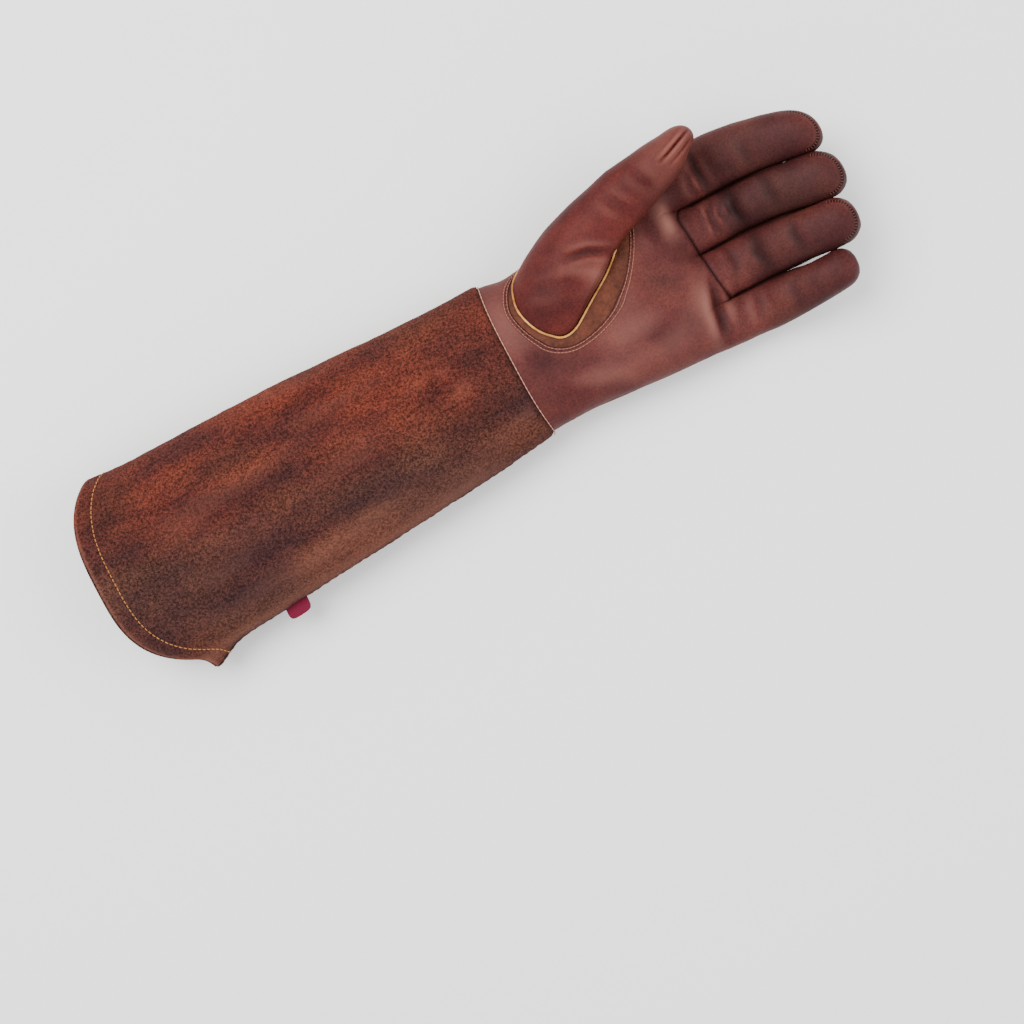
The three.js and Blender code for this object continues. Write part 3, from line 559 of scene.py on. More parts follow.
# Hem: the cuff's edge is turned in about 11 mm and held by one row of thick gold-brown thread all round.
# From outside only the row shows, a little sunk into the suede; inside lies the turned band.
hem_wall = 1.4
hem_from_mouth, hem_gap = 0.6, 0.9
hem_rows, hem_columns = 9, 225
hem_wave_height, hem_waves, hem_tone = 0.2, 34, 0.12
hem_angle = np.broadcast_to(np.linspace(0, 360, hem_columns)[None, :], (hem_rows, hem_columns))
hem_share = np.linspace(1, 0, hem_rows)[:, None]
hem_x = cuff_edges(hem_angle)[1] + hem_from_mouth + hem_share * hem_width
hem_inset = suede_wall + hem_gap
hem_outer = cuff_point(hem_x, hem_angle % 360, hem_inset)
hem_inner = cuff_point(hem_x, hem_angle % 360, hem_inset + hem_wall)
hem_wave = hem_wave_height * np.sin(np.radians(hem_angle) * hem_waves) * hem_share
hem_outer, hem_inner = shifted_in(hem_outer, hem_inner, hem_wave)
hem = sewn_wall("cuff_hem_band", [(hem_outer, hem_inner, np.full(hem_angle.shape, hem_tone))])
dressed(hem, suede_nap, "suede_hem", "cuff_hem")

thread_rough, thread_shine, thread_twist = 0.7, 0.15, 2600.0
# Painted shade between the strands of the twisted thread
between_strands = 0.55  # how dark the thread is there
strand_bump = (0.6, 0.0002)


def thread_material(name, colour):
    material, tree, shader = new_material(name, thread_rough, thread_shine)
    place = add_node(tree, "ShaderNodeTexCoord")
    strands = add_node(tree, "ShaderNodeTexNoise", Scale=thread_twist)
    tree.links.new(place.outputs["Object"], strands.inputs["Vector"])
    shade = tuple(c * between_strands for c in colour)
    tint = ramp(tree, strands.outputs["Fac"], (0.35, shade), (0.65, colour))
    tree.links.new(tint, shader.inputs["Base Color"])
    bump = bumped(tree, strands.outputs["Fac"], *strand_bump)
    tree.links.new(bump.outputs["Normal"], shader.inputs["Normal"])
    return material


def face_of(piece):
    """The piece's surface, for laying threads and cords on."""
    mesh = piece.data
    return BVHTree.FromPolygons([v.co for v in mesh.vertices], [p.vertices for p in mesh.polygons])


def laid_on(faces, point, off):
    """The place nearest to a point, in mm, on some surfaces, lifted off them, with the surface's normal."""
    found = None
    start = Vector((np.asarray(point, float) + frame_shift) * mm)
    for face in faces:
        place, normal, _, far = face.find_nearest(start)
        if place is not None and (found is None or far < found[2]):
            found = (place, normal, far)
    place, normal = np.array(found[0]) * 1000 - frame_shift, np.array(found[1])
    return place + normal * off, normal


def tube(points, radii, sides=7, closed=False, up=(0, 0, 1)):
    """Points and faces of a round tube through some points, in mm, with a radius at each."""
    points = np.asarray(points, float)
    n = len(points)
    along = np.roll(points, -1, 0) - np.roll(points, 1, 0) if closed else np.gradient(points, axis=0)
    along /= np.maximum(np.linalg.norm(along, axis=1, keepdims=True), 1e-9)
    side = np.cross(along[0], up)
    if np.linalg.norm(side) < 1e-3:
        side = np.cross(along[0], (0, 1, 0))
    skin, faces = [], []
    for i in range(n):
        side = side - along[i] * np.dot(side, along[i])
        side /= max(np.linalg.norm(side), 1e-9)
        other = np.cross(along[i], side)
        for k in range(sides):
            turn = 2 * math.pi * k / sides
            skin.append(points[i] + (math.cos(turn) * side + math.sin(turn) * other) * radii[i])
    for i in range(n if closed else n - 1):
        ring, ahead = i * sides, (i + 1) % n * sides
        for k in range(sides):
            beside = (k + 1) % sides
            faces.append([ring + k, ring + beside, ahead + beside, ahead + k])
    if not closed:
        faces.append([k for k in reversed(range(sides))])
        faces.append([(n - 1) * sides + k for k in range(sides)])
    return skin, faces


def tube_piece(name, tubes):
    """One piece of several tubes. Nothing of it goes below the table."""
    points, faces = [], []
    for skin, around in tubes:
        faces += [[len(points) + k for k in face] for face in around]
        points += skin
    points = (np.array(points) + frame_shift) * mm
    points[:, 2] = np.maximum(points[:, 2], 0)
    mesh = bpy.data.meshes.new(name)
    mesh.from_pydata(points.tolist(), [], faces)
    return clean_piece(name, mesh)


def resampled(points, pitch, closed=False):
    """Points at an even pitch in mm along a line."""
    points = np.asarray(points, float)
    if closed:
        points = np.concatenate([points, points[:1]])
    lengths = np.concatenate([[0], np.cumsum(np.linalg.norm(np.diff(points, axis=0), axis=1))])
    count = max(int(round(lengths[-1] / pitch)), 2)
    at = np.linspace(0, lengths[-1], count + 1)
    if closed:
        at = at[:-1]
    return np.stack([np.interp(at, lengths, points[:, k]) for k in range(3)], 1)


stitch_arch = ((-0.5, -0.5, 0.55), (-0.36, 0.15, 0.9), (0, 0.45, 1), (0.36, 0.15, 0.9), (0.5, -0.5, 0.55))


def stitches(faces, line, pitch, length, thick, closed=False, across=False):
    """Short threads along a line on the surface, or across it, each arched with its ends sunk in.
    stitch_arch gives shares of the length, of the thickness as lift and of the thickness as width."""
    places = resampled(line, pitch, closed)
    tubes = []
    for place, run in zip(places, np.gradient(places, axis=0)):
        run = run / max(np.linalg.norm(run), 1e-9)
        _, normal = laid_on(faces, place, 0)
        if across:
            run = np.cross(normal, run)
            run /= np.linalg.norm(run)
        arch = []
        for share, lift, _ in stitch_arch:
            arch.append(laid_on(faces, place + run * share * length, lift * thick)[0])
        tubes.append(tube(arch, [width * thick / 2 for _, _, width in stitch_arch], 6, up=normal))
    return tubes


hem_pitch, hem_stitch, hem_thick = 2.9, 2.1, 0.66
row_angles = np.linspace(0, 360, 181)[:-1]
row_line = cuff_point(cuff_edges(row_angles)[1] + hem_width * 1.02, row_angles)
cuff_faces = [face_of(cuff_palm), face_of(cuff_back)]
hem_stitches = stitches(cuff_faces, row_line, hem_pitch, hem_stitch, hem_thick, closed=True)
gold_thread = thread_material("gold_thread", (0.5, 0.2, 0.055))
dressed(tube_piece("hem_stitches", hem_stitches), gold_thread, "suede_hem")


# Label tab: a small folded tab of crimson cloth, caught in the little-finger seam of the cuff. It is bare.
# Its cut end is folded under, so the outer edge is a soft round fold.
tab_place, tab_length, tab_drop = 184.0, 15.0, 8.0
tab_wall, tab_bend, tab_wave = 0.55, 0.9, 0.35
tab_in_seam = 0.6
tab_across, tab_out = np.meshgrid(np.linspace(-1, 1, 25), np.linspace(0, 1, 15))
tab_narrowed = 1 - 0.64 * np.clip(tab_out - 0.55, 0, 1) ** 2
tab_seam = cuff_point(-tab_place + tab_across * tab_length / 2, 0.0)
tab_reach = tab_drop * (1 - 0.13 * np.abs(tab_across) ** 4) + tab_in_seam
tab_up = tab_bend * np.sin(tab_out * 2.2) + tab_wave * np.sin(tab_across * 2.4) * tab_out
tab_middle = np.stack([
    -tab_place + tab_across * tab_length / 2 * tab_narrowed,
    tab_seam[..., 1] + tab_in_seam - tab_out * tab_reach,
    tab_seam[..., 2] + tab_up,
], -1)
tab_round = np.clip(1 - np.abs(tab_across) ** 8, 0.05, 1) * np.clip(1 - tab_out ** 10, 0.05, 1)
tab_half = (tab_wall * np.sqrt(tab_round))[..., None] * (0, 0, 1)
tab = sewn_wall("label_tab_cloth", [(tab_middle + tab_half, tab_middle - tab_half, np.zeros(tab_out.shape))])
crimson = (0.165, 0.0048, 0.03)
# weave_shade is painted shade between the threads of the cloth's weave
weave_pitch, weave_bump, weave_shade = 0.0004, (0.5, 0.0002), 0.6
crimson_cloth, tree, shader = new_material("crimson_cloth", 0.75, 0.15)
shader.inputs["Sheen Weight"].default_value = 0.05
place = add_node(tree, "ShaderNodeTexCoord")
weave = add_node(tree, "ShaderNodeMath", operation="MULTIPLY")
for socket, axis in zip(weave.inputs, "XY"):
    wave = add_node(tree, "ShaderNodeTexWave", bands_direction=axis, Scale=1 / weave_pitch / 6.28)
    tree.links.new(place.outputs["Object"], wave.inputs["Vector"])
    tree.links.new(wave.outputs["Fac"], socket)
tint = ramp(tree, weave.outputs[0], (0, tuple(c * weave_shade for c in crimson)), (1, crimson))
tree.links.new(tint, shader.inputs["Base Color"])
tree.links.new(bumped(tree, weave.outputs[0], *weave_bump).outputs["Normal"], shader.inputs["Normal"])
dressed(tab, crimson_cloth, "red_cloth", "label_tab")


# Hand: smooth dark red-brown leather. One piece is the palm with the fronts of the index and little fingers;
# one is the whole back; the middle and ring fronts are set in across their roots. The fingers curl up, with
# creases where a hand has bent them, and every edge is turned into its seam.
hand_length = 138.0
knuckle_width = 116.0
palm_depth = 46.0
hollow_along, hollow_across = (5.0, 0.62, 0.22), (1.0, -0.08, 0.22)  # the palm's hollow: depth, place, reach
leather_wall = 1.3
wrist_overlap = 11.0
front_seam = 131.0 / hand_length
front_bow = 5.5 / hand_length
front_line = ([0, 0.125, 0.25, 0.5, 0.75, 0.875, 1], [-0.3, 0.05, 0.35, 0.6, 0.9, 1, 0.35])  # across, bow
slit_start = 0.972
root_start = 0.78  # from here on the hand's outline turns into the four fingers'
finger_depth = 25.5
finger_lift = 33.0
resting_height = 17.0
side_wall_angle = {"back": 25.0, "palm": 10.0}  # how far a side wall reaches to the back and to the front
tip_share = 0.16
top_round = 2.3
piped_on_hand, piped_on_finger = 212.0, 222.0
fingers = [  # little to index: reach, width, depth, rise, place across the hand along it, girth along it
    (67.5, 26.5, 0.93, 0.82, [-0.297, -0.306, -0.314, -0.319, -0.309], [1.03, 1.065, 1, 0.9, 0.86]),
    (79.5, 30.0, 1.0, 1.0, [-0.04, -0.045, -0.061, -0.089, -0.099], [1.03, 1.045, 1.01, 0.96, 0.9]),
    (84.5, 30.0, 1.0, 1.03, [0.222, 0.217, 0.197, 0.163, 0.133], [0.955, 0.945, 0.97, 0.985, 0.945]),
    (84.0, 30.0, 1.0, 0.96, [0.486, 0.496, 0.47, 0.426, 0.369], [1.045, 1.165, 1.1, 1.015, 0.875]),
]
quarters = [0, 0.25, 0.5, 0.75, 1]
curl_along = [0, 0.22, 0.36, 0.5, 0.75, 1]
curl_risen = [0, 0.07, 0.24, 0.46, 0.77, 1]
curl_pinch = [0, 0.12, 0, 0.08, 0, 0]
curl_step = 0.02
finger_thinned = 0.1  # a finger is this much flatter at its tip
nested = suede_wall + 0.3 + half_seam  # how far inside the cuff's face the hand's leather starts
wrist_middle, wrist_half = cuff_sway[0] * cuff_wrist[0], cuff_wrist[0] / 2
hand_along = [-wrist_overlap / hand_length, 0.02, 0.1, 0.2, 0.35, 0.57, 0.78, 1]
hand_little = [wrist_middle - wrist_half + nested] * 2 + [
    share * knuckle_width for share in (-0.349, -0.349, -0.362, -0.384, -0.397, -0.41)]
hand_thumb = [wrist_middle + wrist_half - nested] * 2 + [
    share * knuckle_width for share in (0.461, 0.47, 0.5, 0.52, 0.55, 0.62)]
hand_low = [nested] * 2 + [share * palm_depth for share in (0.087, 0.087, 0.054, 0.01, 0, 0)]
hand_high = [cuff_wrist[1] - nested] * 2 + [share * palm_depth for share in (1, 1, 1.02, 1, 0.92, 0.8)]


def hand_edges(along):
    """Where the hand's little-finger side, thumb side, underside and top lie."""
    edges = (hand_little, hand_thumb, hand_low, hand_high)
    return [smooth_between(hand_along, edge, along) for edge in edges]


def hand_point(along, angle, inset=0.0, seam=0.0):
    along, angle = np.broadcast_arrays(np.asarray(along, float), np.asarray(angle, float))
    little, thumb, low, high = hand_edges(along)
    top = cuff_round + (top_round - cuff_round) * ease(along, 0.02, 0.12)
    y, z = rounded(angle, (thumb - little) / 2 - inset, (high - low) / 2 - inset, top, low_round)
    hollow = stripes(along, hollow_along) * stripes(y / knuckle_width, hollow_across)
    sink = hollow * ease(z, 0, palm_depth / 4)
    lift = nested * (1 - ease(along, 0.02, 0.1))
    up = resting((high + low) / 2 + z - sink + seam - lift, inset, seam) + lift
    return np.stack([along * hand_length, (thumb + little) / 2 + y, up], -1)


def side_spread(w, side="back"):
    return side_wall_angle[side] * (1 - ease(w, 0.6, 0.97))


def tip_roundness(past):
    """How much of its width a finger keeps in the rounded tip, from 1 at its start to 0 at its end."""
    return (1 - np.clip(past, 0, 1) ** top_round) ** (1 / top_round)


def finger_point(finger, w, angle, inset=0.0, seam=0.0):
    reach, width, depth, rise_share, sway, girth = finger
    w, angle = np.broadcast_arrays(np.asarray(w, float), np.asarray(angle, float))
    tip = tip_roundness((w - (1 - tip_share)) / tip_share)
    half_width = width / 2 * smooth_between(quarters, girth, w) - inset
    half_depth = depth * finger_depth / 2 * (1 - finger_thinned * w) - inset
    y, z = rounded(angle, half_width * tip, half_depth * tip, top_round, top_round)
    before, risen, after = (
        smooth_between(curl_along, curl_risen, np.clip(w + step, 0, 1)) * rise_share * finger_lift
        for step in (-curl_step, 0, curl_step)
    )
    tilt = np.arctan((after - before) / (2 * curl_step * reach)) * ease(w, 0, 0.15)
    pinch = np.where(z > 0, smooth_between(curl_along, curl_pinch, w) * z / half_depth, 0)
    up = z * (1 - pinch) + seam
    return np.stack([
        hand_length + w * (reach - inset) - up * np.sin(tilt),
        smooth_between(quarters, sway, w) * knuckle_width + y,
        resting_height + risen + up * np.cos(tilt),
    ], -1)


drawn_width = 0.3  # share of a strip's width over which it is drawn to its neighbour
strip_angles = {"palm": [0, 58, 90, 122, piped_on_hand], "back": [0, -58, -90, -122, piped_on_hand - 360]}


def finger_angle(side, strip, w, share):
    """The angle round a finger at a share of its strip's width."""
    sign, piped = (1, piped_on_finger) if side == "palm" else (-1, piped_on_finger - 360)
    first = 0 if strip == 0 else sign * side_spread(w, side)
    final = piped if strip == 3 else sign * (180 - side_spread(w, side))
    return first + (final - first) * share


def own_point(side, strip, along, share, inset):
    sign = 1 if side == "palm" else -1
    along, share = np.broadcast_arrays(np.asarray(along, float), np.asarray(share, float))
    w = np.maximum(along - 1, 0)
    finger = finger_point(fingers[strip], w, finger_angle(side, strip, w, share), inset, sign * half_seam)
    start, end = strip_angles[side][strip:strip + 2]
    hand = hand_point(np.minimum(along, 1), start + (end - start) * share, inset, sign * half_seam)
    flat = finger.copy()
    flat[..., 0] = along * hand_length
    blend = ease(along, root_start, 1)[..., None]
    return np.where(along[..., None] >= 1, finger, hand * (1 - blend) + flat * blend)


def strip_point(side, strip, along, share, inset=0.0):
    """A point of one finger's strip: neighbours are drawn together at their edge until the slit opens."""
    along, share = np.broadcast_arrays(np.asarray(along, float), np.asarray(share, float))
    point = own_point(side, strip, along, share, inset)
    drawn = np.clip((1 - along) / (1 - slit_start), 0, 1)[..., None]
    for edge, neighbour in ((0.0, strip - 1), (1.0, strip + 1)):
        if 0 <= neighbour <= 3:
            own = own_point(side, strip, along, np.full_like(share, edge), inset)
            next_to = own_point(side, neighbour, along, np.full_like(share, 1 - edge), inset)
            near = np.clip(1 - np.abs(share - edge) / drawn_width, 0, 1)[..., None] ** 2
            point = point + (next_to - own) / 2 * drawn * near
    return point


lace_height = 6.4  # the laced seam round three fingertips lies this far to the palm side of their widest line


def over_middle(strip, w, angle):
    """Height of a fingertip's face over its widest line, in mm."""
    tip = tip_roundness((w - (1 - tip_share)) / tip_share)
    half_depth = fingers[strip][2] * finger_depth / 2 * (1 - finger_thinned * w)
    return rounded(angle, 1.0, half_depth * tip, top_round, top_round)[1]


# Darker and lighter places of the palm in plan, partly the leather's own patches, partly painted shade in
# creases and painted highlights. mm from the wrist seam: x, y, two reaches, how much darker
palm_marks = [
    (97, 5, 15, 16, 0.38), (6, 24, 14, 24, -0.32), (28, -2, 14, 9, 0.14), (62, -14, 14, 8, -0.16),
    (139, 26, 9, 8, 0.2), (137, -5, 8, 9, 0.2), (126, -36, 6, 8, 0.2), (114, 62, 10, 8, -0.15),
    (114, -18, 6, 20, -0.2), (117, 40, 7, 12, -0.4), (152, -30, 9, 12, -0.22),
]
# Painted shade on each finger, little to index, past its root crease where it curls up from the light
finger_painted_shade = (0.38, 0.44, 0.62, 0.44)
# Folds of the palm side in plan, x from the wrist seam: lines, depth and half width in mm
palm_folds = [
    ([(127, -6), (122, -22), (118, -42)], 2.3, 3.0),
    ([(121, 50), (119, 40), (118, 28)], -1.3, 3.6),
    ([(107, 52), (106, 38), (107, 26)], 0.5, 3.0),
    ([(150, 70), (148, 58), (150, 42)], 1.7, 2.2),
    ([(143, 60), (141, 50), (143, 42)], 0.9, 1.8),
    ([(147, 38), (143, 27), (144, 15)], 1.3, 1.8),
    ([(160, 37), (157, 25), (160, 13)], 1.15, 3.4),
    ([(155, 34), (152, 25), (155, 16)], -0.5, 1.6),
    ([(137, 36), (138, 27), (135, 19)], 0.9, 1.5),
    ([(151, 33), (149, 27), (152, 20)], 0.8, 1.4),
    ([(180, 36), (178, 25), (180, 14)], 0.7, 2.6),
    ([(178, 62), (176, 52), (178, 41)], 0.5, 2.6),
    ([(143, 9), (144, -3), (140, -15)], 0.9, 2.4),
    ([(161, 9), (158, -4), (161, -18)], 1.15, 3.6),
    ([(155, 5), (152, -4), (155, -13)], -0.5, 1.6),
    ([(181, 5), (179, -6), (181, -18)], 0.8, 2.6),
    ([(149, -25), (145, -33), (142, -44)], 0.6, 2.8),
    ([(167, -26), (165, -36), (167, -47)], 0.5, 2.6),
    ([(136, -25), (134, -32), (132, -41)], 0.35, 2.2),
    ([(58, -16), (78, -20), (100, -14)], 0.45, 5.0),
    ([(20, -20), (40, -26), (62, -34)], -0.7, 6.0),
    ([(8, 4), (20, -8), (34, -14)], 0.5, 4.5),
    ([(90, 14), (100, 6), (110, -4)], 0.35, 4.5),
]
back_folds = [
    ([(146, y - 12), (144, y), (146, y + 12)], 0.5, 3.4) for y in (-36, -5, 25, 54)
] + [
    ([(170, y - 12), (168, y), (170, y + 12)], 0.35, 2.8) for y in (-36, -7, 23, 53)
] + [  # gathers that fan out from the zigzag, towards the knuckles and towards the wrist
    ([(54, y), (66, 1.06 * y + 1), (80 + 7 * math.sin(y), 1.16 * y + 2)], 0.75, 1.5)
    for y in range(-34, 50, 7)
] + [
    ([(36, y), (27, 0.98 * y), (18 + 3 * math.sin(2 * y), 0.96 * y)], 0.55, 1.4) for y in range(-31, 50, 7)
]
hand_folds = {"palm": palm_folds, "back": back_folds}
hand_seed = {"palm": 1.0, "back": 2.5}
columns = {"palm": [42, 24, 24, 50], "back": [36, 24, 24, 26]}
all_along = -9.0  # an edge is sewn from a place along the hand on, and this one lies before its start
far_off = 99.0
hand_tuck, finger_tuck = (0.95, 2.3), (0.4, 1.5)  # depth, width
hand_puckers = (0.05, 1.9, 3.5)
leather_humps = [(0.35, 17, 0), (0.15, 6.5, 4)]
tip_press, press_width = 0.55, 0.12  # the fingers swell against each other near their tips
# Painted shade where the edges turn into their seams and, on the fingers, towards the slits between them
hand_seam_shade, finger_seam_shade = (0.85, 0, 0.9), (0.35, 0, 2.4)
# Painted shade in the folds and painted highlights on the lips beside them
hand_fold_shade = (0.3, -0.3, 0.55)
# A darker band across the palm by the wrist, and a painted highlight on the palm's middle
wrist_middle_shade, palm_painted_highlight, palm_highlight_along = (0.16, -12, 30), (-0.17, -4, 36), (1.0, 0.6, 0.3)
lace_lips = [(0.3, 0, 0.5), (-0.3, 1.4, 0.6), (-0.25, -1.3, 0.6)]
# Painted shade in the lacing's groove and painted highlights on its two lips: how much darker, where, how wide
lace_shades = [(0.95, 0, 0.8), (-0.25, 1.6, 0.6), (-0.25, -1.6, 0.7)]


def to_sewn_edge(along, across, down, seams):
    """How far each point of a strip is from its sewn edges. seams says from which place along the hand on its
    first and its last edge are sewn, or None, and whether its start and its end are."""
    nearest = np.full(along.shape, far_off)
    for sewn_from, distance in ((seams[0], across), (seams[1], across[:, -1:] - across)):
        if sewn_from is not None:
            before = np.clip((sewn_from - along) * hand_length, 0, far_off)
            nearest = np.minimum(nearest, np.hypot(distance, before))
    if seams[2]:
        nearest = np.minimum(nearest, down)
    if seams[3]:
        nearest = np.minimum(nearest, down[-1:] - down)
    return nearest


def hand_grid(side, strip, alongs, *seams):
    """One strip of the hand's leather with its folds, creases, patches and painted shade and highlights."""
    share = np.linspace(0, 1, columns[side][strip])[None, :]
    along = alongs if alongs.ndim == 2 else alongs[:, None]
    along, share = np.broadcast_arrays(along, share)
    outer = strip_point(side, strip, along, share, 0.0)
    inner = strip_point(side, strip, along, share, leather_wall)
    across, down = row_lengths(outer, 1), row_lengths(outer, 0)
    to_seam = to_sewn_edge(along, across, down, seams)
    on_finger, near_tip, at_tip = ease(along, 1.0, 1.03), ease(along, 1.5, 1.75), ease(along, 1.97, 2.0)
    lies = ease(outer[..., 2], 0.4, 5) if side == "back" else 1.0

    fold = fold_field(outer, hand_folds[side])
    if side == "back":
        fold = np.where(fold > 0, fold, fold * ease(outer[..., 2], 0.5, 5))
    fold = fold * (0.25 + 0.75 * ease(to_seam, 0.5, 4.5))
    soft = humps(outer, leather_humps, hand_seed[side]) * lies
    soft *= ease(along, -0.02, 0.03) * ease(to_seam, 0, 3)
    deep, wide = (hand + (finger - hand) * on_finger for hand, finger in zip(hand_tuck, finger_tuck))
    tuck = tucked(to_seam, deep, wide) * (1 - 0.85 * near_tip)
    beside = bell(share / press_width) * (strip > 0) + bell((1 - share) / press_width) * (strip < 3)
    pressed = tip_press * beside * ease(along, 1.62, 1.74) * (1 - ease(along, 1.86, 1.97))
    sunk = tuck + fold + soft + puckers(across + down, to_seam, *hand_puckers)
    outer, inner = shifted_in(outer, inner, sunk * (1 - at_tip) - pressed)

    # Painted shade at the seams, in the folds and towards the slits, painted highlights on the folds' lips
    tone = stripes(to_seam, hand_seam_shade) + shaded(fold, *hand_fold_shade) * ease(to_seam, 0, 2)
    tone += stripes(to_seam, finger_seam_shade) * on_finger * (1 - near_tip)
    if side == "back":
        return outer, inner, tone
    y = outer[..., 1]
    # Painted shade: fingers darker past the root crease as they curl, and on their side away from the light
    tone += finger_painted_shade[strip] * ease(along, 1.02, 1.22) + 0.3 * (0.5 - share) * ease(along, 1.02, 1.2)
    tone += stripes(y, wrist_middle_shade) * (1 - ease(along, 0.05, 0.35))
    # Painted highlight on the palm's middle
    tone += stripes(y, palm_painted_highlight) * stripes(along, palm_highlight_along)
    # Lighter towards the fingertips, and a painted highlight along the index finger's edge towards the light
    tone -= 0.22 * ease(along, 1.6, 1.95) + 0.12 * ease(y, 62, 70) * ease(along, 1.1, 1.3)
    # Patches of the leather, painted crease shade and painted highlights
    for *place, deeper in palm_marks:
        tone += deeper * patch(outer, *place)
    if strip > 0:  # the groove of the laced seam round the tip, with a lip on each side
        w = np.maximum(along - 1, 0)
        beyond = over_middle(strip, w, finger_angle(side, strip, w, share)) - lace_height
        laced = ease(w, 0.83, 0.88)
        outer, inner = shifted_in(outer, inner, stripes(beyond, *lace_lips) * laced)
        # Painted shade in the groove and painted highlights on its lips
        tone += stripes(beyond, *lace_shades) * laced
    return outer, inner, tone


leather_rough = (0.5, 0.62)
leather_grain = {"patch": 30.0, "mottle": 620.0, "fine": 1400.0, "pores": 1300.0, "dark": 0.7, "speck": 0.72}
leather_bump = (0.15, 0.0006, 0.35, 0.0002)
smooth_leather = hide_material(
    "smooth_leather",
    [(0.066, 0.0142, 0.0138), (0.094, 0.021, 0.0192), (0.122, 0.0302, 0.0236), (0.27, 0.115, 0.09)],
    leather_rough,
    leather_grain,
    leather_bump,
    seed=1.7,
)
back_leather = hide_material(
    "back_leather",
    [(0.085, 0.0155, 0.011), (0.12, 0.0235, 0.016), (0.152, 0.033, 0.021), (0.26, 0.1, 0.07)],
    leather_rough,
    {**leather_grain, "patch": 26.0, "dark": 0.66, "speck": 0.66},
    leather_bump,
    seed=4.2,
)
bow_fade = 0.12
to_seam_rows = np.linspace(-wrist_overlap / hand_length, front_seam, 112)
slit_rows = np.linspace(front_seam, 1, 8)[1:]
tip_rows = 1 + np.sin(np.linspace(0, 1, 68)[1:] * math.pi / 2) ** 1.25
whole_rows = np.concatenate([to_seam_rows, slit_rows, tip_rows])


def bowed_rows(strip, rows, toward_palm):
    shares = np.linspace(0, 1, columns["palm"][strip])
    bow = front_bow * smooth_between(front_line[0], front_line[1], (strip - 1 + shares) / 2)
    if toward_palm:
        fade = ease(rows, front_seam - bow_fade, front_seam)
    else:
        fade = 1 - np.clip((rows - front_seam) / (1 - front_seam), 0, 1)
    return rows[:, None] - fade[:, None] * bow[None, :]


# Thumb seam: the round line on the palm where the thumb is set in. Outside it, on the palm side, lies the
# gusset, so the palm's hole is wider than the thumb by that strip.
gusset_widest = 11.5
thumb_seam = np.array([  # along the hand, angle round it, angle on the thumb, gusset's share of its widest
    (0.11, 118, 100, 0.44), (0.128, 104, 118, 0.44), (0.168, 94, 135, 0.46), (0.235, 88.5, 150, 0.54),
    (0.32, 91, 163, 0.74), (0.42, 99, 177, 0.96), (0.515, 108, 192, 1), (0.6, 120, 210, 0.8),
    (0.675, 134, 232, 0.35), (0.71, 151, 255, 0), (0.695, 168, 280, 0), (0.62, 181, 305, 0),
    (0.49, 187, 330, 0), (0.36, 184, 350, 0), (0.26, 173, 368, 0), (0.195, 160, 390, 0.22),
    (0.15, 147, 415, 0.28), (0.122, 132, 438, 0.36),
])
seam_along, seam_around, seam_on_thumb, seam_gusset = range(4)
seam_count = len(thumb_seam)
seam_girth = 0.42 * knuckle_width  # radius that turns an angle round the hand into mm there
hole_gap = 0.2
around_thumb = np.concatenate([thumb_seam, thumb_seam, thumb_seam])
around_thumb[:seam_count, seam_on_thumb] -= 360
around_thumb[2 * seam_count:, seam_on_thumb] += 360
around_places = np.arange(-seam_count, 2 * seam_count)


def seam_values(t, column):
    return smooth_between(around_places, around_thumb[:, column], t)


def seam_place(t, outward):
    """Where a point lies that is some mm outside the seam: along the hand, and its angle round it."""
    ways = (seam_along, seam_around)
    run_along, run_around = (seam_values(t + 1, way) - seam_values(t - 1, way) for way in ways)
    run_along, run_around = run_along * hand_length, np.radians(run_around) * seam_girth
    length = np.hypot(run_along, run_around)
    along = seam_values(t, seam_along) + run_around / length * outward / hand_length
    return along, seam_values(t, seam_around) - np.degrees(run_along / length * outward / seam_girth)


def seam_point(t, outward, lift=0.0):
    along, around = seam_place(np.asarray(t, float), outward)
    return hand_point(along, around, -np.asarray(lift, float), half_seam)


def gusset_width(t):
    return np.maximum(seam_values(t, seam_gusset), 0) * gusset_widest


hole_t = np.linspace(0, seam_count, 361)[:-1]
hole_line = seam_point(hole_t, gusset_width(hole_t) + hole_gap)


def angle_on_hand(points):
    """The angle round the hand of points on its face, found by the side that they lie on."""
    little, thumb, low, high = hand_edges(points[:, 0] / hand_length)
    y = (points[:, 1] - (thumb + little) / 2) / ((thumb - little) / 2)
    z = (points[:, 2] + pressed_flat - (high + low) / 2) / ((high - low) / 2)
    n = np.where(z >= 0, top_round, low_round)
    c = -np.sign(y) * np.abs(y) ** (n / 2)
    s = np.sign(z) * np.abs(z) ** (n / 2)
    return np.degrees(np.arctan2(s, c)) % 360


def in_thumb_hole(points):
    """True for points of the palm inside the thumb's hole, told in the hand's own angle and length."""
    line_along, line_around = seam_place(hole_t, gusset_width(hole_t) + hole_gap)
    along, around = points[:, 0] / hand_length, angle_on_hand(points)
    inside = np.zeros(len(points), bool)
    for a, b, c, d in zip(line_along, line_around, np.roll(line_along, -1), np.roll(line_around, -1)):
        if b != d:
            inside ^= ((b > around) != (d > around)) & (along < (c - a) * (around - b) / (d - b) + a)
    return inside


hole_reach, hole_tuck, hole_tuck_width = 4.0, 0.5, (0.4, 3.0)


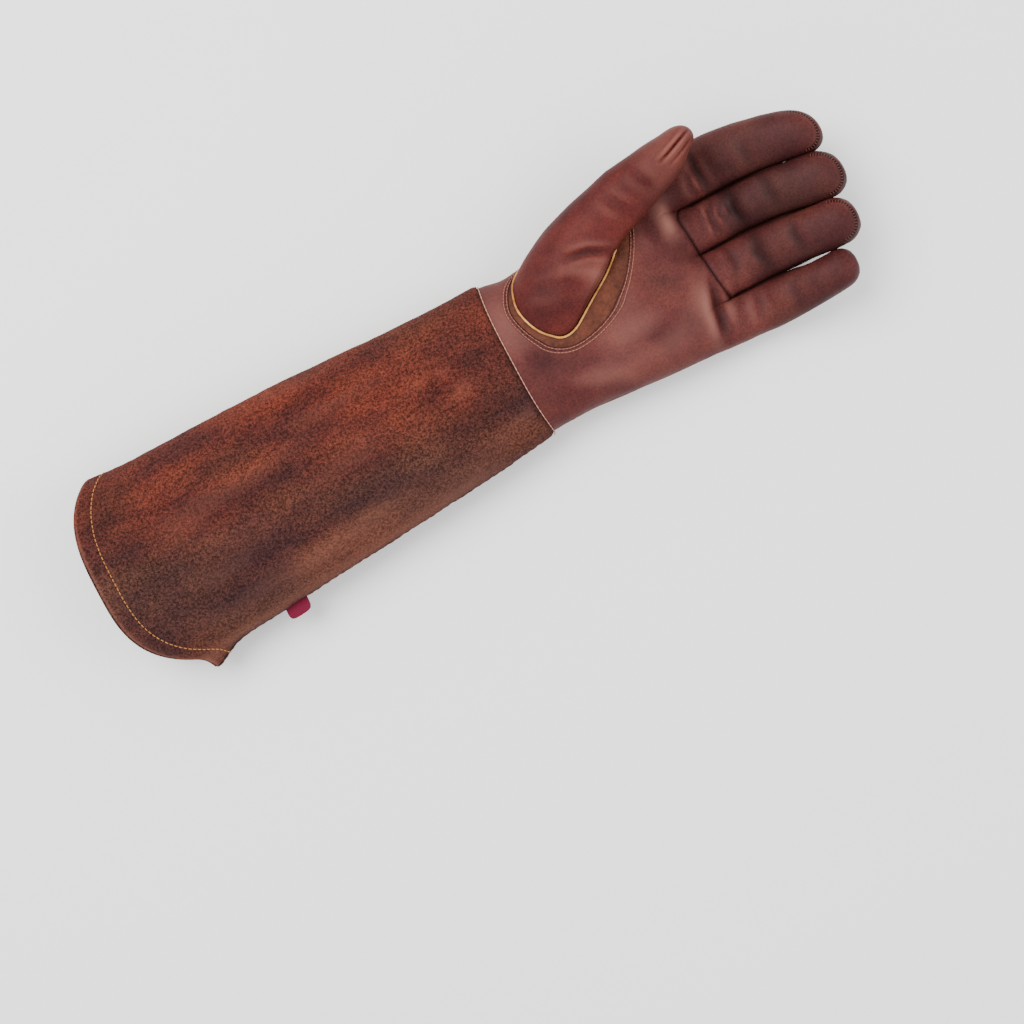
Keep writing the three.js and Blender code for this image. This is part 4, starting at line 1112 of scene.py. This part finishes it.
def drawn_to_hole(outer, inner, tone, rim):
    """The hole's cut edge is moved onto its line and turned in a little, with painted shade along it."""
    rim = np.array(rim)
    near = rim[np.linalg.norm(outer[rim][:, None, :] - hole_line[None], axis=2).min(axis=1) < hole_reach]
    segments = np.roll(hole_line, -1, 0) - hole_line
    for v in near:
        t = np.clip(((outer[v] - hole_line) * segments).sum(1) / (segments ** 2).sum(1), 0, 1)
        spots = hole_line + t[:, None] * segments
        spot = spots[np.argmin(np.linalg.norm(spots - outer[v], axis=1))]
        inner[v] += spot - outer[v]
        outer[v] = spot
    far = np.linalg.norm(outer[:, None, :] - hole_line[None, ::6], axis=2).min(axis=1)
    outer[:], inner[:] = shifted_in(outer, inner, hole_tuck * (1 - ease(far, *hole_tuck_width)))
    # Painted shade along the hole's turned-in edge
    tone += 0.7 * bell(far / 1.4)


palm = sewn_wall("palm_leather", [
    hand_grid("palm", 0, whole_rows, all_along, front_seam, False, False),
    hand_grid("palm", 1, bowed_rows(1, to_seam_rows, True), None, None, False, True),
    hand_grid("palm", 2, bowed_rows(2, to_seam_rows, True), None, None, False, True),
    hand_grid("palm", 3, whole_rows, front_seam, all_along, False, False),
], drop=in_thumb_hole, snap=drawn_to_hole)
dressed(palm, smooth_leather, "hand_leather", "palm", "little_front", "index_front")

front_rows = np.concatenate([[front_seam], slit_rows, tip_rows])
finger_fronts = []
for strip, finger in ((1, "ring"), (2, "middle")):
    grid = hand_grid("palm", strip, bowed_rows(strip, front_rows, False), all_along, all_along, True, False)
    finger_fronts.append(sewn_wall(finger + "_finger_front", [grid]))
    dressed(finger_fronts[-1], smooth_leather, "hand_leather", finger + "_front")

hand_back = sewn_wall("hand_back_leather", [
    hand_grid("back", 0, whole_rows, all_along, slit_start, False, False),
    hand_grid("back", 1, whole_rows, slit_start, slit_start, False, False),
    hand_grid("back", 2, whole_rows, slit_start, slit_start, False, False),
    hand_grid("back", 3, whole_rows, slit_start, all_along, False, False),
])
dressed(hand_back, back_leather, "hand_leather", "hand_back")


# Fourchettes: the fingers' side walls, three ribbons of browner leather that each run down one finger, round
# the crotch and up the next, narrowing to nothing before the tips.
side_leather = hide_material(
    "side_leather",
    [(0.042, 0.0105, 0.0085), (0.062, 0.0155, 0.0115), (0.085, 0.023, 0.0155), (0.15, 0.06, 0.04)],
    (0.5, 0.6),
    {"patch": 24.0, "mottle": 420.0, "fine": 1500.0, "pores": 1300.0, "dark": 0.84, "speck": 0.86},
    (0.12, 0.0006, 0.3, 0.00018),
)
pressed_out = [(0.6, 0.5, 0.6), (0.5, 0.74, 0.9), (0.55, 0.6, 0.7)]  # bulge, which fades between two places
ribbon_end, ribbon_sunk = 0.93, 0.75
tucked_angle = 1.5  # degrees that a ribbon reaches under the fronts and the back
crotch_back, crotch_ahead = 0.6, 0.8
ribbon_rows = np.linspace(0, ribbon_end, 48)
ribbon_levels = np.linspace(1, -1, 15)  # from the fronts' edge to the back's


def ribbon_wall(strip, on_first, w, inset):
    """One finger's side wall, on the first or the second of the two fingers that a ribbon joins."""
    reach = [side_spread(w, side)[:, None] + tucked_angle for side in ("palm", "back")]
    spread = np.where(ribbon_levels > 0, *reach) * ribbon_levels
    swell, until, gone = pressed_out[strip]
    swell = swell * (1 - ease(w, until, gone))[:, None] * (1 - ribbon_levels ** 2)
    sunk = inset + ribbon_sunk * np.abs(ribbon_levels) ** 3 - swell
    if on_first:
        return finger_point(fingers[strip], w[:, None], 180 - spread, sunk)
    return finger_point(fingers[strip + 1], w[:, None], spread, sunk)


def ribbon_face(strip, inset):
    """A ribbon down one finger, round the crotch and up the next."""
    first = ribbon_wall(strip, True, ribbon_rows[::-1], inset)
    second = ribbon_wall(strip, False, ribbon_rows, inset)
    start = slit_start * hand_length - crotch_back
    reach = hand_length - start - crotch_ahead - inset
    turn = ribbon_levels * math.pi / 2
    bends = []
    for t in np.linspace(0, 1, 9)[1:-1]:
        bend = first[-1] * (1 - t) + second[0] * t
        hollow = math.sin(math.pi * t) ** 0.7
        bend[:, 0] += (start + reach * np.cos(turn) - bend[:, 0]) * hollow
        bend[:, 2] -= inset * np.sin(turn) * hollow
        bends.append(bend)
    return np.concatenate([first, np.array(bends), second])


for strip, node in enumerate(("fourchette_little_ring", "fourchette_ring_middle", "fourchette_middle_index")):
    outer, inner = ribbon_face(strip, 0.0), ribbon_face(strip, leather_wall)
    # Painted shade deep between the fingers, darker still where the ribbon's edges go under the fronts and the
    # back
    tone = np.broadcast_to(0.45 + 0.4 * np.abs(ribbon_levels) ** 6, outer.shape[:2])
    ribbon = sewn_wall(node + "_ribbon", [(outer, inner, tone)])
    dressed(ribbon, side_leather, "side_leather", node)


# Gusset: a strip of browner, pin-pricked leather let in round the palm side of the thumb, so that the thumb
# can swing out. A double row of stitches on a raised ridge holds it to the palm.
gusset_crown, gusset_wall, gusset_below = 0.8, 1.0, 0.55
gusset_inward, gusset_outward = 0.4, 1.2  # how far it reaches under the thumb and under the palm
gusset_t = np.linspace(14, seam_count + 9, 150)[:, None]
gusset_share = np.linspace(0, 1, 16)[None, :]
gusset_out = -gusset_inward + gusset_share * (gusset_width(gusset_t) + gusset_inward + gusset_outward)
gusset_lift = gusset_crown * np.sin(math.pi * gusset_share) * np.clip(gusset_width(gusset_t) / 8, 0, 1)
gusset_lift = gusset_lift - gusset_below
gusset_face = seam_point(gusset_t, gusset_out, gusset_lift)
gusset_under = seam_point(gusset_t, gusset_out, gusset_lift - gusset_wall)
# Painted shade where the gusset's edges go under the thumb and the palm, and a little random mottle
gusset_tone = 0.7 * np.abs(2 * gusset_share - 1) ** 8 + 0.1 * uneven(gusset_face, 2.0, 3.3)
gusset = sewn_wall("thumb_gusset_strip", [(gusset_face, gusset_under, gusset_tone)])
gusset_leather = hide_material(
    "gusset_leather",
    [(0.062, 0.0165, 0.0095), (0.098, 0.0265, 0.0145), (0.135, 0.039, 0.0195), (0.2, 0.085, 0.05)],
    (0.5, 0.6),
    {"patch": 60.0, "mottle": 420.0, "fine": 1500.0, "pores": 420.0, "dark": 0.7, "speck": 0.8},
    (0.2, 0.0006, 0.6, 0.0005),
    seed=2.2,
)
dressed(gusset, gusset_leather, "side_leather", "thumb_gusset")

# The palm's edge is turned under along the gusset and sewn down twice, which leaves two narrow raised ridges.
ridge_rows, ridge_columns = 420, 34
first_ridge, second_ridge = 0.75, 2.75  # mm out from the palm's edge
ridge_shapes = [(0.75, first_ridge, 0.62), (0.6, second_ridge, 0.7)]
thread_dip, dips = (0.07, 1.8, 1.6), 26  # the threads pull it in at each stitch
# Painted shade at the palm's edge, in the groove between the ridges and beyond them, painted highlights on
# both ridges
ridge_shade_and_highlight = [(0.85, -0.2, 0.4), (0.85, 1.75, 0.4), (0.35, 4.1, 0.6),
                (-0.3, 0.8, 0.4), (-0.34, second_ridge, 0.5)]
ridge_wall, ridge_sunk = 0.3, 0.4
ridge_pitch, ridge_stitch, ridge_thick = 2.2, 1.6, 0.5
ridge_t = np.linspace(13.8, seam_count + 9.6, ridge_rows)
ridge_out = np.linspace(-0.35, 4.6, ridge_columns)
ridge_whole = np.clip(np.minimum(ridge_t - ridge_t[0], ridge_t[-1] - ridge_t) / 0.5, 0, 1)[:, None]
ridge_rise = stripes(ridge_out, thread_dip) * np.sin(ridge_t * dips)[:, None]
ridge_rise = ridge_rise + stripes(ridge_out, *ridge_shapes)
ridge_rise = (ridge_rise - 0.3 * ease(ridge_out, 3.2, 4.4) - 0.25) * ridge_whole - 0.3 * (1 - ridge_whole)
# Painted shade and highlights of the two ridges
ridge_tone = stripes(ridge_out, *ridge_shade_and_highlight)
palm_face = [face_of(palm)]
ridge_top, ridge_low = np.zeros((2, ridge_rows, ridge_columns, 3))
for row, t in enumerate(ridge_t):
    edge = seam_point(np.full(ridge_columns, t), gusset_width(t) + ridge_out)
    for column, rise in enumerate(ridge_rise[row]):
        spot, normal = laid_on(palm_face, edge[column], 0)
        spot = edge[column] if ridge_out[column] < 0.3 else spot
        ridge_top[row, column] = spot + normal * rise
        ridge_low[row, column] = spot + normal * min(rise - ridge_wall, -ridge_sunk)
ridge_tone = np.broadcast_to(ridge_tone, (ridge_rows, ridge_columns))
turned_edge = sewn_wall("palm_turned_edge", [(ridge_top, ridge_low, ridge_tone)])
dressed(turned_edge, smooth_leather, "hand_leather")

ridge_stitches = []
stitch_t = np.linspace(14.4, seam_count + 9.2, 140)
for ridge in (first_ridge, second_ridge):
    line = seam_point(stitch_t, gusset_width(stitch_t) + ridge, 0.6)
    ridge_stitches += stitches([face_of(turned_edge)], line, ridge_pitch, ridge_stitch, ridge_thick)
ridge_thread = thread_material("ridge_thread", (0.36, 0.15, 0.1))
dressed(tube_piece("gusset_stitches", ridge_stitches), ridge_thread, "hand_leather")


# Thumb: one piece of smooth leather that rises from the round seam on the palm and narrows to a rounded tip,
# with a short dart sewn in at its end.
thumb_wide, thumb_deep, thumb_rise, thumb_reach = 34.5, 28.5, 51.0, 50.5
thumb_start = 0.74  # its axis starts here along the hand
thumb_tip_start, thumb_step = 0.8, 0.05
root_lean, root_bulge, root_share, neck_share = 0.18, 9.0, 0.35, 0.38  # the curve from the seam to its axis
thumb_tuck = (0.8, 3.2)
thumb_humps = [(0.3, 17, 8.8), (0.1, 6, 4.4)]
# Painted shade at the thumb's root seam and in its folds and dart, painted highlights on the folds' lips
thumb_seam_shade, thumb_fold_shade = (0.7, 0, 2), (0.5, -0.3, 0.7)
thumb_along = [0, 0.43, 0.63, 0.82, 1]
thumb_widths = [1, 0.82, 0.7, 0.51, 0.42]
thumb_depths = [1, 1, 0.96, 0.84, 0.7]
thumb_out = [0.531, 0.579, 0.603, 0.635, 0.645]
thumb_up = [0, 0.06, 0.09, 0.11, 0.12]
thumb_folds = [
    ([(126, 66), (138, 70.8), (149.5, 75.6)], 1.15, 0.62),
    ([(127.5, 64), (139, 68.6), (149.5, 73.3)], -0.45, 0.8),
    ([(125, 68.2), (137, 73), (147, 77.2)], -0.45, 0.8),
    ([(131, 62.2), (141, 66.2), (149, 70.2)], 0.5, 0.6),
    ([(52, 44), (66, 41), (79, 34)], 1.1, 2.0),
    ([(44, 40), (56, 34), (68, 27)], -0.4, 3.5),
    ([(88, 66), (92, 58), (97, 50)], 0.5, 2.6),
    ([(24, 40), (34, 34), (46, 30)], 0.25, 3.0),
    ([(110, 72), (112, 64), (116, 56)], 0.3, 2.6),
]


def unit(vectors):
    return vectors / np.maximum(np.linalg.norm(vectors, axis=-1, keepdims=True), 1e-6)


def thumb_centre(along):
    along = np.asarray(along, float)
    return np.stack([
        thumb_start * hand_length + along * thumb_reach,
        smooth_between(thumb_along, thumb_out, along) * knuckle_width,
        thumb_rise * (1 + smooth_between(thumb_along, thumb_up, along)),
    ], -1)


def thumb_section(along, angle):
    tip = tip_roundness((along - thumb_tip_start) / (1 - thumb_tip_start))
    half_width = thumb_wide / 2 * smooth_between(thumb_along, thumb_widths, along) * tip
    half_depth = thumb_deep / 2 * smooth_between(thumb_along, thumb_depths, along) * tip
    y, z = rounded(angle, -half_width, half_depth, top_round, top_round)
    ahead = unit(thumb_centre(min(along + thumb_step, 1)) - thumb_centre(max(along - thumb_step, 0)))
    sideways = unit(np.array([-ahead[1], ahead[0], 0]))
    return thumb_centre(along) + y[:, None] * sideways + z[:, None] * np.cross(ahead, sideways)


thumb_t = np.linspace(0, seam_count, 109)[:-1]
thumb_angle = seam_values(thumb_t, seam_on_thumb)
low, foot = seam_point(thumb_t, 0.3, -leather_wall), seam_point(thumb_t, -0.1, 1.0)
head = thumb_section(0.0, thumb_angle)
length = np.linalg.norm(head - foot, axis=1, keepdims=True)
ahead = unit(thumb_centre(0.1) - thumb_centre(0.0))
first = foot + (head - foot) * root_lean + unit(foot - low) * np.minimum(root_bulge, root_share * length)
second = head - ahead * neck_share * length
rings = [low, (low + foot) / 2]
for s in np.linspace(0, 1, 46)[:-1]:
    r = 1 - s
    rings.append(r ** 3 * foot + 3 * r * r * s * first + 3 * r * s * s * second + s ** 3 * head)
for along in np.sin(np.linspace(0, 1, 48) * math.pi / 2) ** 1.2:
    rings.append(thumb_section(float(along), thumb_angle))
rings = np.array(rings)
inward = unit(np.cross(np.gradient(rings, axis=0), np.roll(rings, -1, 1) - np.roll(rings, 1, 1)))
inward[-1] = (-1, 0, 0)  # at the very tip, where the last ring is a point
risen = row_lengths(rings, 0)
from_tip = np.linalg.norm(rings - rings[-1, 0], axis=-1)
fold = fold_field(rings, thumb_folds) * ease(rings[..., 2], 38, 46)
sunk = (fold + humps(rings, thumb_humps)) * ease(risen, 2, 8) * ease(from_tip, 0, 4)
sunk += tucked(risen, *thumb_tuck)
outer = rings + inward * sunk[..., None]
inner = outer + inward * leather_wall
# Painted shade at the root seam and in the folds, painted highlights on the folds' lips
tone = stripes(risen, thumb_seam_shade) + shaded(fold, *thumb_fold_shade)
tone -= 0.2 * ease(rings[..., 0], 98, 138) + 0.35 * patch(rings, 66, 25, 11, 8)
closed_round = [np.concatenate([part, part[:, :1]], axis=1) for part in (outer, inner, tone)]
thumb = sewn_wall("thumb_leather", [closed_round])
thumb_hide = hide_material(
    "thumb_leather",
    [(0.054, 0.0074, 0.0068), (0.08, 0.0112, 0.0098), (0.11, 0.0178, 0.0135), (0.26, 0.105, 0.082)],
    leather_rough,
    leather_grain,
    leather_bump,
    seed=1.7,
)
dressed(thumb, thumb_hide, "hand_leather", "thumb")


# Piping: thin yellow leather folded round a string and caught in two seams, the one round the thumb's root
# and the one that runs from the wrist along the index finger's back edge to its tip.
piping_width = 1.3
piping_pitch, piping_sides = 1.2, 10
piping_out, piping_up = 0.75, 0.55  # from the thumb's seam
piping_start, piping_stop, piping_proud = 0.02, 1.9, 0.45  # along hand and finger, and over the seam
yellow_leather = hide_material(
    "yellow_piping",
    [(0.34, 0.13, 0.032), (0.56, 0.25, 0.065), (0.74, 0.37, 0.11), (0.8, 0.5, 0.25)],
    (0.45, 0.55),
    {"patch": 90.0, "mottle": 700.0, "fine": 2400.0, "pores": 1600.0, "dark": 0.8, "speck": 0.85},
    (0.2, 0.0003, 0.3, 0.0001),
)
thumb_line = seam_point(np.linspace(0, seam_count, 145)[:-1], piping_out, piping_up)
thumb_line = resampled(thumb_line, piping_pitch, closed=True)
radii = (1 + 0.05 * np.sin(np.arange(len(thumb_line)) * 1.3)) * piping_width / 2
thumb_cord = tube_piece("thumb_piping_cord", [tube(thumb_line, radii, piping_sides, closed=True)])
dressed(thumb_cord, yellow_leather, "yellow_piping", "thumb_piping")

index_line = []
for along in np.linspace(piping_start, piping_stop, 150):
    spot = finger_point(fingers[3], max(along - 1, 0), piped_on_finger, -piping_proud)
    if along < 1:
        flat = spot.copy()
        flat[0] = along * hand_length
        blend = float(ease(along, root_start, 1))
        spot = hand_point(along, piped_on_hand, -piping_proud) * (1 - blend) + flat * blend
    index_line.append(spot)
index_line = resampled(index_line, piping_pitch)
radii = np.full(len(index_line), piping_width / 2)
radii[:2] *= (0.5, 0.85)
radii[-3:] *= (0.9, 0.7, 0.4)
index_cord = tube_piece("index_piping_cord", [tube(index_line, radii, piping_sides)])
dressed(index_cord, yellow_leather, "yellow_piping", "index_piping")


# Wrist edging: a narrow pale pink cord in the seam between the leather hand and the suede cuff. Its thickness
# waves with the thread that is wound round it, and its end hangs out at the little-finger side.
edging_radius, edging_bead, edging_proud, edging_ahead = 0.3, 0.12, 0.55, 0.75
edging_angles = np.linspace(0, 360, 241)[:-1]
edging_seam = np.where((edging_angles > 0) & (edging_angles < thumb_seam_angle), half_seam, -half_seam)
edging_along = (cuff_edges(edging_angles)[0] + edging_ahead) / hand_length
edging_line = resampled(hand_point(edging_along, edging_angles, -edging_proud, edging_seam), 1.1, closed=True)
radii = edging_radius + edging_bead * np.sin(np.arange(len(edging_line)) * 2.1)
tail_angle = 8.0  # the cord's end hangs out here
tail = hand_point((cuff_edges(tail_angle)[0] + edging_ahead) / hand_length, tail_angle, -edging_proud)
tail = tail + np.array([(0, 0.4, -0.3), (0.2, -1.2, 0.1), (-0.4, -2.3, 0.7), (-1.0, -2.8, 0.2)])
edging_tubes = [tube(edging_line, radii, 8, closed=True), tube(tail, (0.4, 0.45, 0.4, 0.25))]
edging = tube_piece("wrist_edging_cord", edging_tubes)
pale_thread = thread_material("pale_pink_thread", (0.52, 0.25, 0.18))
dressed(edging, pale_thread, "pale_piping", "wrist_piping")


# Back of the hand: a strip of elastic is sewn inside with a bold dark zigzag, which gathers the leather
# towards the knuckles. The threads lie on the leather from the piping to the little-finger side.
zigzag_start, zigzag_width, zigzag_points = 40.0, 8.5, 20
zigzag_sides = (48.0, -38.0)
zigzag_radius, zigzag_off = 0.5, 0.18
under_hand = -2.0  # the threads are laid up onto the leather from here
face_of_back = face_of(hand_back)
corners = [(zigzag_start + zigzag_width * (k % 2), y, under_hand)
           for k, y in enumerate(np.linspace(*zigzag_sides, zigzag_points))]
threads = []
for start, end in zip(np.array(corners[:-1]), np.array(corners[1:])):
    run = [laid_on([face_of_back], start + (end - start) * t, zigzag_off)[0] for t in np.linspace(0, 1, 9)]
    threads.append(tube(run, np.full(9, zigzag_radius)))
dark_thread = thread_material("dark_brown_thread", (0.022, 0.0065, 0.0055))
dressed(tube_piece("elastic_zigzag", threads), dark_thread, "hand_leather")


# Fingertips: the fronts and the back meet round the tips of the index, middle and ring fingers in a seam that
# is laced over with short stitches that lie like rungs across its groove.
lace_pitch, lace_length, lace_thick = 1.7, 2.1, 0.55
lace_from = 0.38  # the lacing starts at the square of this share of the finger from its tip
tip_faces = [face_of(piece) for piece in (palm, hand_back, *finger_fronts)]
laces = []
for strip in (1, 2, 3):
    line = []
    to_tip = 1 - np.linspace(lace_from, 0, 40) ** 2
    for on_far_side, ws in ((False, to_tip), (True, to_tip[::-1])):
        for w in ws:
            top = float(over_middle(strip, w, 90.0))
            if top > lace_height:
                lean = math.degrees(math.asin((lace_height / top) ** (top_round / 2)))
                angle = 180 - lean if on_far_side else lean
                line.append(finger_point(fingers[strip], w, angle, -0.1, half_seam))
    laces += stitches(tip_faces, line, lace_pitch, lace_length, lace_thick, across=True)
lace_thread = thread_material("brown_lace", (0.15, 0.05, 0.036))
dressed(tube_piece("fingertip_stitches", laces), lace_thread, "hand_leather")


low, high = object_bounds()
